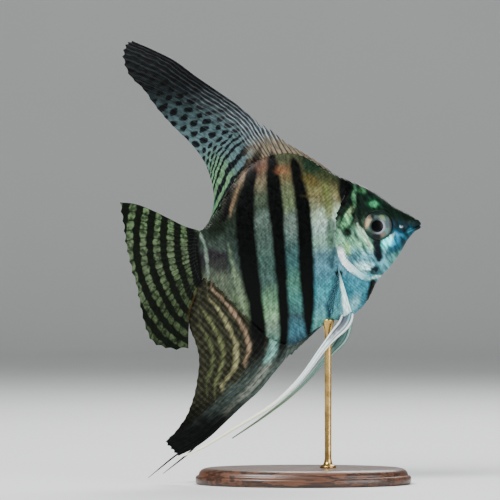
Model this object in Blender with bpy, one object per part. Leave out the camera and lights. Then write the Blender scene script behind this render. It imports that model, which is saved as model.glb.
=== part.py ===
"""A freshwater angelfish as a still, life-size display model, held by one rod on a flat oval base.

The fish swims to +X with its nose a little up, and its two sides are at -Y (right) and +Y (left).
Outlines are laid out in the fish's own frame, in hundredths of its standard length: x runs from the
root of the tail fin (0) to the tip of the snout (100), and z up from the middle of the tail's root.
"""

import math

import bmesh
import bpy
from mathutils import Vector

MM = 0.001
GAP = 0.3 * MM  # clear space between neighbouring pieces

# ---------------------------------------------------------------- driving dimensions
STANDARD_LENGTH = 80.5 * MM  # snout tip to the root of the tail fin
UNIT = STANDARD_LENGTH / 100  # outlines below are in this unit
NOSE_UP = math.radians(4.5)
TAIL_ROOT = Vector((-36.7 * MM, 0, 85.3 * MM))  # the fish frame's origin above the base

BASE_SIZE = (80 * MM, 50 * MM, 6 * MM)
BASE_EDGE = 1.2 * MM
ROD_X = 9.0 * MM
ROD_RADIUS = 1.25 * MM
ROD_IN_BASE = 4 * MM
SADDLE_RADIUS = 2.3 * MM
SADDLE_HEIGHT = 6 * MM
SADDLE_WRAP = 2 * MM  # how far the saddle reaches up beside the belly

EDGE_HALF = 0.6 * MM  # half thickness of the body along its back and belly ridges
SECTION_POWER = 0.62  # roundness of the body's cross-section
HALF_RING = 10  # faces round each side of the body
BODY_STEPS, HEAD_STEPS = 26, 24  # cross-sections behind and along the head
EYE_AT = (80.6, 6.7)
EYE_RADIUS = 5.3 * MM
EYE_DEPTH = 3.1 * MM  # half depth of the flattened eyeball
EYE_STANDS_OUT = 0.8 * MM
GILL_COVER_THICK = 1.1 * MM
MIDDLE_WALL = 0.8 * MM  # flesh left on each side of the middle plane under a gill cover
CLEAR_OF_SKIN = 3 * MM  # how far a cutter stands outside the body
GILL_COVER_TOP = 0.24  # how far down the gill edge the plate begins

# ---------------------------------------------------------------- outlines of the body
BACK = (
    (-1, 11), (2.5, 13.5), (8.5, 21.5), (13.5, 29), (19.5, 36), (26.5, 41), (34.5, 43.2), (42.5, 43.4),
    (49, 41.3), (56, 36.5), (64, 31.5), (71, 28), (78, 24.3), (83, 20.3), (87.5, 16), (92.5, 12.8),
    (97, 9.8), (100, 6.4),
)
BELLY = (
    (-1, -11.5), (3, -14), (7, -18.5), (12.5, -25.5), (19.5, -34.3), (27.5, -41.7), (35.5, -45),
    (42, -43.2), (48.5, -38.7), (56, -35.6), (63, -35), (68, -32.3), (72.5, -28.4), (75.5, -24),
    (78, -19.5), (81.5, -16), (85.5, -12), (90, -6.7), (93.5, -1.5), (97, 2.2), (100, 4.6),
)
HALF_WIDTH = (  # x, half thickness in millimetres at the middle of the flank
    (-1, 1.3), (8, 2.3), (25, 4.4), (45, 6.2), (60, 6.9), (72, 7.1), (81, 6.3), (90, 4.4), (96, 3.0),
    (100, 1.6),
)
# The free rear edge of the gill cover, from the nape down to the throat.
GILL_EDGE = (
    (69.5, 32), (68.3, 26), (65.5, 20), (63, 15.5), (61.4, 10), (60.9, 4), (61, -3), (62.4, -8.6),
    (65.5, -12.7), (69.3, -16), (73.5, -18.2), (78, -19),
)
# The ridge in front of the gill cover plate.
CHEEK_EDGE = ((68.5, 17), (70.5, 10), (71.5, 2), (73, -5), (75.5, -10.5), (78.5, -14), (80.5, -16.5))
MOUTH_CORNER = (94.6, 3.4)
MOUTH_FRONT = (102, 5.9)
TAIL_STEM_X = 9.0  # where the trunk is parted from the stem of the tail

# ---------------------------------------------------------------- fins
DORSAL_SPINES = 11
DORSAL_RAYS = 21
ANAL_SPINES = 6
ANAL_RAYS = 21
TAIL_RAYS = 17
FIN_ROOT_HALF = 0.6 * MM
FIN_EDGE_HALF = 0.27 * MM
FIN_STAND_OFF = GAP / UNIT  # the fins' roots stay this far outside the body's ridge

DORSAL_SPINE_TIPS = ((59.3, 35.2), (52.5, 40.6), (47, 44.6), (41, 49), (35.3, 54.6), (28.8, 60.6))
DORSAL_LEAD = (
    (35.4, 44), (31.5, 52.5), (27, 60.8), (19.5, 68.4), (11, 75.3), (2.2, 82.4), (-6.4, 89.8),
    (-16, 95.7), (-26, 101),
)
DORSAL_TIPS = (
    (-26, 101), (-29.6, 99.6), (-30.8, 94), (-29, 86), (-22.5, 78), (-16.5, 68.4), (-10.3, 60.3),
    (-3, 52), (2.6, 43.6), (5.4, 35), (6.4, 27), (5.6, 20.5),
)
DORSAL_REAR = ((3.2, 15.4), (4.6, 17.8), (5.6, 20.5))
ANAL_SPINE_TIPS = ((48.6, -39.4), (44, -43.2), (39, -47.3), (34.4, -51.4))
ANAL_LEAD = (
    (37.2, -46), (32.8, -52.2), (27.2, -58), (20.5, -65), (12.4, -71.2), (4.2, -77.8), (-3.8, -84.2),
    (-11.5, -88.8), (-19.5, -92),
)
ANAL_TIPS = (
    (-19.5, -92), (-23, -88.6), (-24.8, -85), (-20, -80.6), (-14.6, -74), (-10.8, -66.4), (-8.2, -58),
    (-6.4, -49), (-5.9, -41), (-7.1, -33.6), (-7, -25.4), (-4, -18.6),
)
ANAL_REAR = ((0.6, -13.4), (-1.8, -15.8), (-4, -18.6))
TAIL_LEAD = ((-1.6, 11), (-8.3, 13.6), (-15, 17.6), (-22.3, 21.9), (-29.7, 25.4), (-37, 26.8))
TAIL_TIPS = (
    (-37, 26.8), (-36.9, 19.5), (-36.3, 11.5), (-35.6, 3.5), (-34.2, -5), (-32.4, -14), (-31.4, -23),
    (-30, -32), (-27, -39.4), (-20, -42.8), (-10.8, -43.2),
)
TAIL_LOW = ((-2, -11.4), (-5.4, -18.2), (-8.4, -25.6), (-10, -34.2), (-10.8, -43.2))
PELVIC_NEAR = (
    (62.8, -36), (56, -42), (50.5, -48), (41, -59), (32.4, -66.7), (23, -73.1), (6.6, -81.3),
    (-8, -88.6), (-20, -92.6),
)
PELVIC_FAR = (
    (63.4, -36.2), (61.4, -42.8), (56.3, -49), (50.4, -55.2), (42.5, -62), (33, -69.6), (20, -78),
    (6, -86),
)
# Along a pelvic fin, from 0 to 1: its distance from the middle plane and its half width, both in mm.
PELVIC_SPREAD = ((0, 1.4), (0.15, 3.4), (0.5, 6.2), (1, 5.4))
PELVIC_WIDTH = ((0, 0.9), (0.08, 1.4), (0.3, 0.9), (0.6, 0.5), (1, 0.3))
PECTORAL_ROOT = ((60.6, -9.6), (60.6, -13.4))
PECTORAL_TIPS = ((67, -30.5), (63.5, -33), (59.5, -34), (55.5, -31.5), (54.5, -26))


def lerp(a, b, t):
    """Straight blend of two numbers."""
    return a + (b - a) * t


def through(points, t):
    """A point at t, from 0 to 1, on the smooth curve through points, spaced evenly by number."""
    last = len(points) - 1
    at = min(max(t, 0.0), 1.0) * last
    i = min(int(at), last - 1)
    p1, p2 = Vector(points[i]), Vector(points[i + 1])
    p0 = Vector(points[i - 1]) if i > 0 else p1 * 2 - p2
    p3 = Vector(points[i + 2]) if i + 2 <= last else p2 * 2 - p1
    u = at - i
    bend = 2 * p0 - 5 * p1 + 4 * p2 - p3
    twist = 3 * p1 - p0 - 3 * p2 + p3
    return p1 + ((p2 - p0) * u + bend * u**2 + twist * u**3) / 2


def height(points, x):
    """The value at x of the smooth curve through (x, value) points, level beyond its ends."""
    if x <= points[0][0]:
        return points[0][1]
    if x >= points[-1][0]:
        return points[-1][1]
    i = next(n for n in range(len(points) - 1) if points[n + 1][0] >= x)
    (x0, v0), (x1, v1) = points[i], points[i + 1]
    span = x1 - x0

    def slope(n):
        before, after = points[max(n - 1, 0)], points[min(n + 1, len(points) - 1)]
        return (after[1] - before[1]) / (after[0] - before[0])

    u = (x - x0) / span
    rise = v1 - v0
    m0, m1 = slope(i) * span, slope(i + 1) * span
    return v0 + m0 * u + (3 * rise - 2 * m0 - m1) * u**2 + (m0 + m1 - 2 * rise) * u**3


def flank(x, z):
    """Half thickness of the body, in metres, at a point of its side view."""
    top, bottom = height(BACK, x), height(BELLY, x)
    share = min(abs(2 * (z - bottom) / (top - bottom) - 1), 1.0)
    full = height(HALF_WIDTH, x) * MM
    return EDGE_HALF + (full - EDGE_HALF) * (1 - share**2) ** SECTION_POWER


def place(x, z, y=0.0):
    """A point of the fish's frame, with y in metres, in the model's frame."""
    along, up = x * UNIT, z * UNIT
    cos, sin = math.cos(NOSE_UP), math.sin(NOSE_UP)
    return TAIL_ROOT + Vector((along * cos - up * sin, y, along * sin + up * cos))


# ---------------------------------------------------------------- making objects
def material(name, colour, roughness, metallic=0.0):
    """A Principled material with plain values."""
    made = bpy.data.materials.new(name)
    made.use_nodes = True
    shader = made.node_tree.nodes["Principled BSDF"]
    shader.inputs["Base Color"].default_value = (*colour, 1)
    shader.inputs["Roughness"].default_value = roughness
    shader.inputs["Metallic"].default_value = metallic
    return made


def add_object(name, bm, finish, smooth=True):
    """Puts a bmesh in the scene as one object with its finish."""
    bm.normal_update()
    bmesh.ops.recalc_face_normals(bm, faces=bm.faces)
    mesh = bpy.data.meshes.new(name)
    bm.to_mesh(mesh)
    bm.free()
    made = bpy.data.objects.new(name, mesh)
    bpy.context.scene.collection.objects.link(made)
    if finish:
        mesh.materials.append(finish)
    if smooth:
        mesh.shade_smooth()
    return made


def helper(made):
    """Marks an object as a cutter, which is no part of the model."""
    made.hide_render = True
    made.display_type = "WIRE"
    return made


def boolean(target, operation, tool):
    """Adds an exact Boolean of tool to target."""
    step = target.modifiers.new(operation.lower() + "_" + tool.name, "BOOLEAN")
    step.operation = operation
    step.solver = "EXACT"
    step.object = tool


def loft(rings):
    """A closed skin over rings of points, each end filled by one face."""
    bm = bmesh.new()
    rows = [[bm.verts.new(p) for p in ring] for ring in rings]
    count = len(rows[0])
    for a, b in zip(rows, rows[1:]):
        for i in range(count):
            j = (i + 1) % count
            bm.faces.new((a[i], a[j], b[j], b[i]))
    bm.faces.new(rows[0])
    bm.faces.new(reversed(rows[-1]))
    return bm


def plate(right, left):
    """A closed plate between two grids of points of the same size."""
    bm = bmesh.new()
    sheets = [[[bm.verts.new(p) for p in row] for row in grid] for grid in (right, left)]
    rows, columns = len(right), len(right[0])
    for i in range(rows - 1):
        for j in range(columns - 1):
            for sheet in sheets:
                bm.faces.new((sheet[i][j], sheet[i + 1][j], sheet[i + 1][j + 1], sheet[i][j + 1]))
    rim = [(i, 0) for i in range(rows)] + [(rows - 1, j) for j in range(1, columns)]
    rim += [(i, columns - 1) for i in range(rows - 2, -1, -1)] + [(0, j) for j in range(columns - 2, 0, -1)]
    for (i, j), (k, m) in zip(rim, rim[1:] + rim[:1]):
        bm.faces.new((sheets[0][i][j], sheets[0][k][m], sheets[1][k][m], sheets[1][i][j]))
    return bm


# ---------------------------------------------------------------- the body
def body_blank(name, grow=0.0):
    """The whole body from the tail's root to the snout, optionally grown on all sides."""
    stations = [-1 + 2.5 * n for n in range(BODY_STEPS)] + [64 + 1.5 * n for n in range(HEAD_STEPS)] + [100]
    rings = []
    for x in stations:
        top, bottom = height(BACK, x) + grow / UNIT, height(BELLY, x) - grow / UNIT
        side = []
        for n in range(HALF_RING + 1):
            z = lerp(bottom, top, 0.5 + 0.5 * math.cos(math.pi * n / HALF_RING))
            inner = min(max(z, height(BELLY, x)), height(BACK, x))
            side.append((z, flank(x, inner) + grow))
        ring = [place(x, z, -y) for z, y in side] + [place(x, z, y) for z, y in reversed(side)]
        rings.append(ring)
    return add_object(name, loft(rings), None)


def prism(name, outline, reach=20 * MM):
    """A cutter that runs straight across the body, from an outline in the side view."""
    rings = [[place(x, z, y) for x, z in outline] for y in (-reach, reach)]
    return helper(add_object(name, loft(rings), None, smooth=False))


def shifted(points, distance):
    """A run of side-view points moved sideways, to the left of its direction, by a distance in metres."""
    moved = []
    for n, point in enumerate(points):
        before, after = Vector(points[max(n - 1, 0)]), Vector(points[min(n + 1, len(points) - 1)])
        along = (after - before).normalized()
        moved.append(tuple(Vector(point) + Vector((-along.y, along.x)) * distance / UNIT))
    return moved


def sampled(points, count):
    """Evenly numbered side-view points of the smooth curve through points."""
    return [tuple(through(points, n / (count - 1))) for n in range(count)]


def head_region(name, grow=0.0):
    """Everything in front of the gill edge."""
    edge = shifted(sampled(GILL_EDGE, 25), -grow)
    below, front, above = (79, -30), 130, 50
    return prism(name, [(69.5 - grow / UNIT, above), *edge, below, (front, below[1]), (front, above)])


def tail_region(name, grow=0.0):
    """Everything behind the parting of trunk and tail stem, a shallow curve."""
    steps = 9
    reach = 40
    curve = []
    for n in range(steps):
        z = lerp(reach, -reach, n / (steps - 1))
        curve.append((TAIL_STEM_X + grow / UNIT - 2.5 * (z / reach) ** 2, z))
    return prism(name, [*curve, (-20, -reach), (-20, reach)])


def jaw_region(name, upper, grow=0.0):
    """The front of the snout above or below the line of the mouth."""
    margin = grow / UNIT
    half_slit = 0.5 * GAP / UNIT
    side = 1 if upper else -1
    corner = (MOUTH_CORNER[0] - margin, MOUTH_CORNER[1] + side * (half_slit - margin))
    front = (MOUTH_FRONT[0], MOUTH_FRONT[1] + side * (half_slit - margin))
    if upper:
        rest = [(front[0], 16), (96.4 - margin, 16), (95.2 - margin, 9)]
    else:
        rest = [(front[0], -8), (91 - margin, -8), (93.2 - margin, 0)]
    return prism(name, [corner, front, *rest])


def gill_slab(name, side, grow=0.0):
    """The block that holds one gill cover: from a little under the skin out past it."""
    rows, columns = 11, 6
    inner, outer = [], []
    edge = [tuple(through(GILL_EDGE, lerp(GILL_COVER_TOP, 1.0, n / (rows - 1)))) for n in range(rows)]
    rear = shifted(edge, -2 * grow)
    front = shifted(sampled(CHEEK_EDGE, rows), grow)
    for n in range(rows):
        inner.append([])
        outer.append([])
        for m in range(columns):
            point = Vector(front[n]).lerp(Vector(rear[n]), m / (columns - 1))
            depth = flank(point.x, point.y) - GILL_COVER_THICK - grow
            inner[-1].append(place(point.x, point.y, side * max(depth, MIDDLE_WALL - grow)))
            outer[-1].append(place(point.x, point.y, side * (flank(point.x, point.y) + CLEAR_OF_SKIN)))
    return helper(add_object(name, plate(inner, outer), None, smooth=False))


def eyeball(name, side, finish, grow=0.0):
    """One flattened eyeball, set into the side of the head."""
    x, z = EYE_AT
    bm = bmesh.new()
    bmesh.ops.create_uvsphere(bm, u_segments=16, v_segments=8, radius=1)
    out = flank(x, z) + EYE_STANDS_OUT - EYE_DEPTH
    centre = place(x, z, side * out)
    for vert in bm.verts:
        disc = Vector((vert.co.x, vert.co.z * (EYE_DEPTH + grow) / (EYE_RADIUS + grow), vert.co.y))
        vert.co = centre + disc * (EYE_RADIUS + grow)
    return add_object(name, bm, finish)


def make_body(skin, eye):
    """Head, jaws, gill covers, eyes, trunk and tail stem, parted by thin cuts."""
    head_cut = head_region("cut_head")
    head_cut_wide = head_region("cut_head_wide", GAP)
    tail_cut = tail_region("cut_tail")
    tail_cut_wide = tail_region("cut_tail_wide", GAP)

    head = body_blank("head")
    boolean(head, "INTERSECT", head_cut)
    trunk = body_blank("trunk")
    boolean(trunk, "DIFFERENCE", head_cut_wide)
    boolean(trunk, "DIFFERENCE", tail_cut_wide)
    stem = body_blank("tail_stem")
    boolean(stem, "INTERSECT", tail_cut)

    jaws = []
    for name, upper in (("upper_jaw", True), ("lower_jaw", False)):
        jaw = body_blank(name)
        boolean(jaw, "INTERSECT", jaw_region("cut_" + name, upper))
        boolean(head, "DIFFERENCE", jaw_region("cut_wide_" + name, upper, GAP))
        jaws.append(jaw)

    covers = []
    for word, side in (("right", -1), ("left", 1)):
        cover = body_blank("gill_cover_" + word)
        boolean(cover, "INTERSECT", gill_slab("slab_" + word, side))
        boolean(head, "DIFFERENCE", helper(eyeball("socket_" + word, side, None, GAP)))
        boolean(head, "DIFFERENCE", gill_slab("slab_wide_" + word, side, GAP))
        eyeball("eye_" + word, side, eye)
        covers.append(cover)

    for made in (head, trunk, stem, *jaws, *covers):
        made.data.materials.append(skin)


# ---------------------------------------------------------------- the fins
def between_edges(root, tips, first, last):
    """A fin's rays from its four edges: each ray eases from the first ray's curve to the last's."""

    def point(s, t):
        corners = (first(0) * (1 - s) + last(0) * s) * (1 - t) + (first(1) * (1 - s) + last(1) * s) * t
        return root(s) * (1 - t) + tips(s) * t + first(t) * (1 - s) + last(t) * s - corners

    return point


def blade(name, columns, rows, ray_point, sway, finish):
    """A fin: columns run along its rays, and it thins from its root to its margin."""
    right, left = [], []
    for i in range(columns):
        right.append([])
        left.append([])
        for j in range(rows):
            t = j / (rows - 1)
            point = ray_point(i / (columns - 1), t)
            middle = sway(point)
            half = lerp(FIN_ROOT_HALF, FIN_EDGE_HALF, min(t * 2, 1))
            right[-1].append(place(point.x, point.y, middle - half))
            left[-1].append(place(point.x, point.y, middle + half))
    return add_object(name, plate(right, left), finish)


def ridge_point(outline, x, outward):
    """A point just outside the back or belly ridge."""
    return Vector((x, height(outline, x) + outward * FIN_STAND_OFF * 1.15))


def dorsal_sway(point):
    """The dorsal fin's bend out of the middle plane, in metres."""
    above = max(point.y - 42, 0) / 60
    return (3.0 * above**2 + 0.7 * above * math.sin(point.x * 0.16)) * MM


def anal_sway(point):
    """The anal fin's bend out of the middle plane, in metres."""
    below = max(-44 - point.y, 0) / 50
    return (1.6 * below**2 + 0.8 * below * math.sin(point.x * 0.2 + 1)) * MM


def tail_sway(point):
    """The tail fin's bend out of the middle plane, in metres."""
    behind = max(-2 - point.x, 0) / 35
    return (-2.4 * behind**2 + 1.0 * behind * math.sin(point.y * 0.14)) * MM


def make_dorsal_fin(finish):
    """A spiny front part with free points and a long soft part swept back."""
    front, parting = 60.5, DORSAL_LEAD[0][0]

    def spine(s, t):
        root = ridge_point(BACK, lerp(front, parting + 0.5, s), 1)
        tip = through(DORSAL_SPINE_TIPS, s)
        between = 0.5 - 0.5 * math.cos(2 * math.pi * s * DORSAL_SPINES)
        return root.lerp(tip, t * (1 - 0.16 * between))

    ray = between_edges(
        lambda s: ridge_point(BACK, lerp(DORSAL_LEAD[0][0], DORSAL_REAR[0][0], s), 1),
        lambda s: through(DORSAL_TIPS, s),
        lambda t: through(DORSAL_LEAD, t),
        lambda t: through(DORSAL_REAR, t),
    )
    blade("dorsal_fin_spines", 2 * DORSAL_SPINES + 1, 4, spine, dorsal_sway, finish)
    blade("dorsal_fin_rays", DORSAL_RAYS + 1, 10, ray, dorsal_sway, finish)


def streamer(name, points, radius, sway):
    """A fine round thread that runs on from a fin's tip, to be joined to it."""
    steps, sides = 7, 5
    rings = []
    for n in range(steps):
        share = n / (steps - 1)
        point = through(points, share)
        ahead = through(points, min(share + 0.05, 1)) - through(points, max(share - 0.05, 0))
        across = Vector((-ahead.y, ahead.x)).normalized() / UNIT
        thick = lerp(radius, 0.26 * MM, share)
        ring = []
        for k in range(sides):
            turn = math.tau * k / sides
            spot = point + across * thick * math.cos(turn)
            ring.append(place(spot.x, spot.y, sway(point) + thick * math.sin(turn)))
        rings.append(ring)
    return helper(add_object(name, loft(rings), None))


def make_anal_fin(finish):
    """A short spiny front part, and a soft part swept back into two dark threads."""
    front, parting = 49.8, ANAL_LEAD[0][0]

    def spine(s, t):
        root = ridge_point(BELLY, lerp(front, parting + 0.6, s), -1)
        tip = through(ANAL_SPINE_TIPS, s)
        between = 0.5 - 0.5 * math.cos(2 * math.pi * s * ANAL_SPINES)
        return root.lerp(tip, t * (1 - 0.16 * between))

    ray = between_edges(
        lambda s: ridge_point(BELLY, lerp(ANAL_LEAD[0][0], ANAL_REAR[0][0], s), -1),
        lambda s: through(ANAL_TIPS, s),
        lambda t: through(ANAL_LEAD, t),
        lambda t: through(ANAL_REAR, t),
    )
    blade("anal_fin_spines", 2 * ANAL_SPINES + 1, 4, spine, anal_sway, finish)
    soft = blade("anal_fin_rays", ANAL_RAYS + 1, 10, ray, anal_sway, finish)
    threads = (
        ((-14, -88), (-20.5, -91.6), (-26.8, -95.9), (-34, -101)),
        ((-9, -86), (-14, -90.6), (-20.5, -95.2), (-27, -99.6)),
    )
    for n, points in enumerate(threads):
        boolean(soft, "UNION", streamer(f"thread_{n}", points, 0.42 * MM, anal_sway))


def make_tail_fin(finish):
    """A fan whose upper corner is drawn out, and whose lower half hangs."""

    ray = between_edges(
        lambda s: Vector(TAIL_LEAD[0]).lerp(Vector(TAIL_LOW[0]), s),
        lambda s: through(TAIL_TIPS, s),
        lambda t: through(TAIL_LEAD, t),
        lambda t: through(TAIL_LOW, t),
    )
    blade("tail_fin", TAIL_RAYS + 1, 9, ray, tail_sway, finish)


def make_pelvic_fin(name, side, points, finish):
    """A long feeler: a narrow blade at its root, drawn out into a thread."""
    steps, sides = 24, 8
    rings = []
    for n in range(steps):
        share = n / (steps - 1)
        point = through(points, share)
        ahead = through(points, min(share + 0.02, 1)) - through(points, max(share - 0.02, 0))
        across = Vector((-ahead.y, ahead.x)).normalized() / UNIT
        wide = height(PELVIC_WIDTH, share) * MM
        thick = min(wide, 0.5 * MM)
        out = side * height(PELVIC_SPREAD, share) * MM
        ring = []
        for k in range(sides):
            turn = math.tau * k / sides
            spot = point + across * wide * math.cos(turn)
            ring.append(place(spot.x, spot.y, out + thick * math.sin(turn)))
        rings.append(ring)
    add_object(name, loft(rings), finish)


def make_pectoral_fin(name, side, finish):
    """A small clear fan behind the gill cover, hanging down along the flank and standing off it."""
    columns, rows = 9, 6
    inner, outer = [], []
    for i in range(columns):
        s = i / (columns - 1)
        root = Vector(PECTORAL_ROOT[0]).lerp(Vector(PECTORAL_ROOT[1]), s)
        tip = through(PECTORAL_TIPS, s)
        inner.append([])
        outer.append([])
        for j in range(rows):
            t = j / (rows - 1)
            point = root.lerp(tip, t)
            clear = flank(point.x, point.y) + GAP * 1.5 + 3.2 * MM * t**1.3
            thick = lerp(0.7, 0.5, t) * MM
            inner[-1].append(place(point.x, point.y, side * clear))
            outer[-1].append(place(point.x, point.y, side * (clear + thick)))
    add_object(name, plate(inner, outer), finish)


# ---------------------------------------------------------------- the stand
def make_stand(wood, brass):
    """An oval base with a blind hole, and a rod whose flared top is cut to the belly."""
    length, depth, thick = BASE_SIZE
    segments = 40
    bm = bmesh.new()
    bmesh.ops.create_cone(bm, cap_ends=True, segments=segments, radius1=0.5, radius2=0.5, depth=1)
    for vert in bm.verts:
        vert.co = Vector((vert.co.x * length, vert.co.y * depth, (vert.co.z + 0.5) * thick))
    base = add_object("stand_base", bm, wood, smooth=False)
    rounded = base.modifiers.new("edge", "BEVEL")
    rounded.width = BASE_EDGE
    rounded.segments = 2
    rounded.limit_method = "ANGLE"
    rounded.angle_limit = math.radians(60)

    floor_of_hole = thick - ROD_IN_BASE
    hole = ((floor_of_hole - GAP, ROD_RADIUS + GAP), (thick + CLEAR_OF_SKIN, ROD_RADIUS + GAP))
    boolean(base, "DIFFERENCE", helper(turned("cut_rod_hole", hole, None)))

    belly_x = (ROD_X - TAIL_ROOT.x) / UNIT / math.cos(NOSE_UP)
    for _ in range(3):  # settle the rod's place in the tilted frame
        belly = place(belly_x, height(BELLY, belly_x))
        belly_x += (ROD_X - belly.x) / UNIT
    top = belly.z + SADDLE_WRAP
    profile = (
        (floor_of_hole, ROD_RADIUS),
        (top - SADDLE_HEIGHT, ROD_RADIUS),
        (top - SADDLE_HEIGHT * 0.7, ROD_RADIUS + 0.2 * MM),
        (top - SADDLE_HEIGHT * 0.45, SADDLE_RADIUS - 0.15 * MM),
        (top, SADDLE_RADIUS),
    )
    rod = turned("stand_rod", profile, brass)
    boolean(rod, "DIFFERENCE", helper(body_blank("cut_belly", GAP)))


def turned(name, profile, finish):
    """A round solid on the rod's axis, from (height, radius) points."""
    sides = 20
    turns = [math.tau * k / sides for k in range(sides)]
    rings = [[Vector((ROD_X + r * math.cos(a), r * math.sin(a), z)) for a in turns] for z, r in profile]
    return add_object(name, loft(rings), finish)


def main():
    """Builds the fish and its stand."""
    for old in list(bpy.data.objects):
        bpy.data.objects.remove(old)
    skin = material("pearly_skin", (0.36, 0.45, 0.46), 0.35)
    fin = material("dark_fin", (0.07, 0.08, 0.08), 0.45)
    clear_fin = material("pale_fin", (0.62, 0.68, 0.68), 0.4)
    feeler = material("white_feeler", (0.8, 0.8, 0.76), 0.4)
    eye = material("eye", (0.55, 0.53, 0.48), 0.1)
    wood = material("dark_wood", (0.09, 0.045, 0.025), 0.4)
    brass = material("brass_rod", (0.75, 0.6, 0.32), 0.3, 1.0)

    make_body(skin, eye)
    make_dorsal_fin(fin)
    make_anal_fin(fin)
    make_tail_fin(fin)
    make_pelvic_fin("pelvic_fin_right", -1, PELVIC_NEAR, feeler)
    make_pelvic_fin("pelvic_fin_left", 1, PELVIC_FAR, feeler)
    make_pectoral_fin("pectoral_fin_right", -1, clear_fin)
    make_pectoral_fin("pectoral_fin_left", 1, clear_fin)
    make_stand(wood, brass)


main()
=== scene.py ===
"""The looks of a life-size freshwater angelfish, held by a brass rod on an oval wooden base.

The fish has a frame of its own, in hundredths of its standard length: along runs from the root of
the tail fin (0) to the tip of the snout (100), up runs from the middle of the tail's root, and out
is the distance in millimetres from the middle plane, with the fish's right side at negative Y.
"""

import logging
import math
from collections.abc import Callable, Sequence
from dataclasses import dataclass
from enum import Enum
from functools import partialmethod

import bpy
import numpy as np
from bpy.types import ID, Material, Mesh, Node, NodeSocket, NodeTree, Object
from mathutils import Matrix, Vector


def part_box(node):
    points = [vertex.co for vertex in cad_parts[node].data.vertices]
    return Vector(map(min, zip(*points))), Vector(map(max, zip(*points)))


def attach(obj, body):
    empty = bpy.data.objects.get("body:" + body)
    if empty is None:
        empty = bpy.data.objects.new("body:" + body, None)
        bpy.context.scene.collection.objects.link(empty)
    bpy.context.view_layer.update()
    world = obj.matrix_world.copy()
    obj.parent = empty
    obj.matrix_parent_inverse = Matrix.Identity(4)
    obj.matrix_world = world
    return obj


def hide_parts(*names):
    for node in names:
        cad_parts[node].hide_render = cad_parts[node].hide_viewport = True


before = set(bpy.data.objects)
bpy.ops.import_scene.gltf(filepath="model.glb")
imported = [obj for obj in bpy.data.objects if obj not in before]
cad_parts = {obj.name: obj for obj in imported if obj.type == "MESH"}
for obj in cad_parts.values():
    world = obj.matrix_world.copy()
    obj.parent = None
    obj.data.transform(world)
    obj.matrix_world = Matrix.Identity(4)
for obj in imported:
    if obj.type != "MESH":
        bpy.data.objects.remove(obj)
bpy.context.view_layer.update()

BODY = "root"
MM = 0.001
RAY_WIDTH = 0.12  # of a fin's ray, as a share of the distance between rays
GILL_REACH = 20  # the greatest distance from the gill cover's edge that a mesh carries
LOG = logging.getLogger("angelfish")

Array = np.ndarray
Points = tuple[tuple[float, float], ...]
Inks = tuple[tuple[float, str], ...]  # heights in rising order, each with its colour
Colour = tuple[float, float, float, float]
Triple = tuple[float, float, float]
Edge = Callable[[Array], Array]  # a share of the edge's length to along and up
Sway = Callable[[Array, Array], Array]  # along and up to millimetres out


class Side(Enum):
    """A side of the fish, by the sign of Y."""

    RIGHT = -1
    LEFT = 1

    @property
    def word(self) -> str:
        """The side's name as the frame's nodes spell it."""
        return self.name.lower()


# ---- shapes in the side view


def lerp(low: float | Array, high: float | Array, share: float | Array) -> Array:
    """Blends from low at share 0 to high at share 1."""
    return low + (high - low) * share


def ease(start: float, stop: float, value: Array) -> Array:
    """Rises smoothly from 0 at start to 1 at stop, which may be the lower of the two."""
    share = np.clip((value - start) / (stop - start), 0, 1)
    return share * share * (3 - 2 * share)


def hump(value: Array, centre: float, width: float) -> Array:
    """Makes a smooth hump of height 1, which has fallen to about a third at width from its centre."""
    return np.exp(-(((value - centre) / width) ** 2))


def bilinear(grid: Array, i: int, j: int, f: float, g: float) -> Array:
    """Reads a grid at share f from row i to the next, and at share g from column j to the next."""
    return lerp(lerp(grid[i, j], grid[i + 1, j], f), lerp(grid[i, j + 1], grid[i + 1, j + 1], f), g)


def run_length(points: Array) -> Array:
    """Adds up the way from a grid's first row of points to each row."""
    steps = np.linalg.norm(np.diff(points, axis=0), axis=-1)
    return np.concatenate([np.zeros((1, points.shape[1])), np.cumsum(steps, axis=0)])


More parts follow.
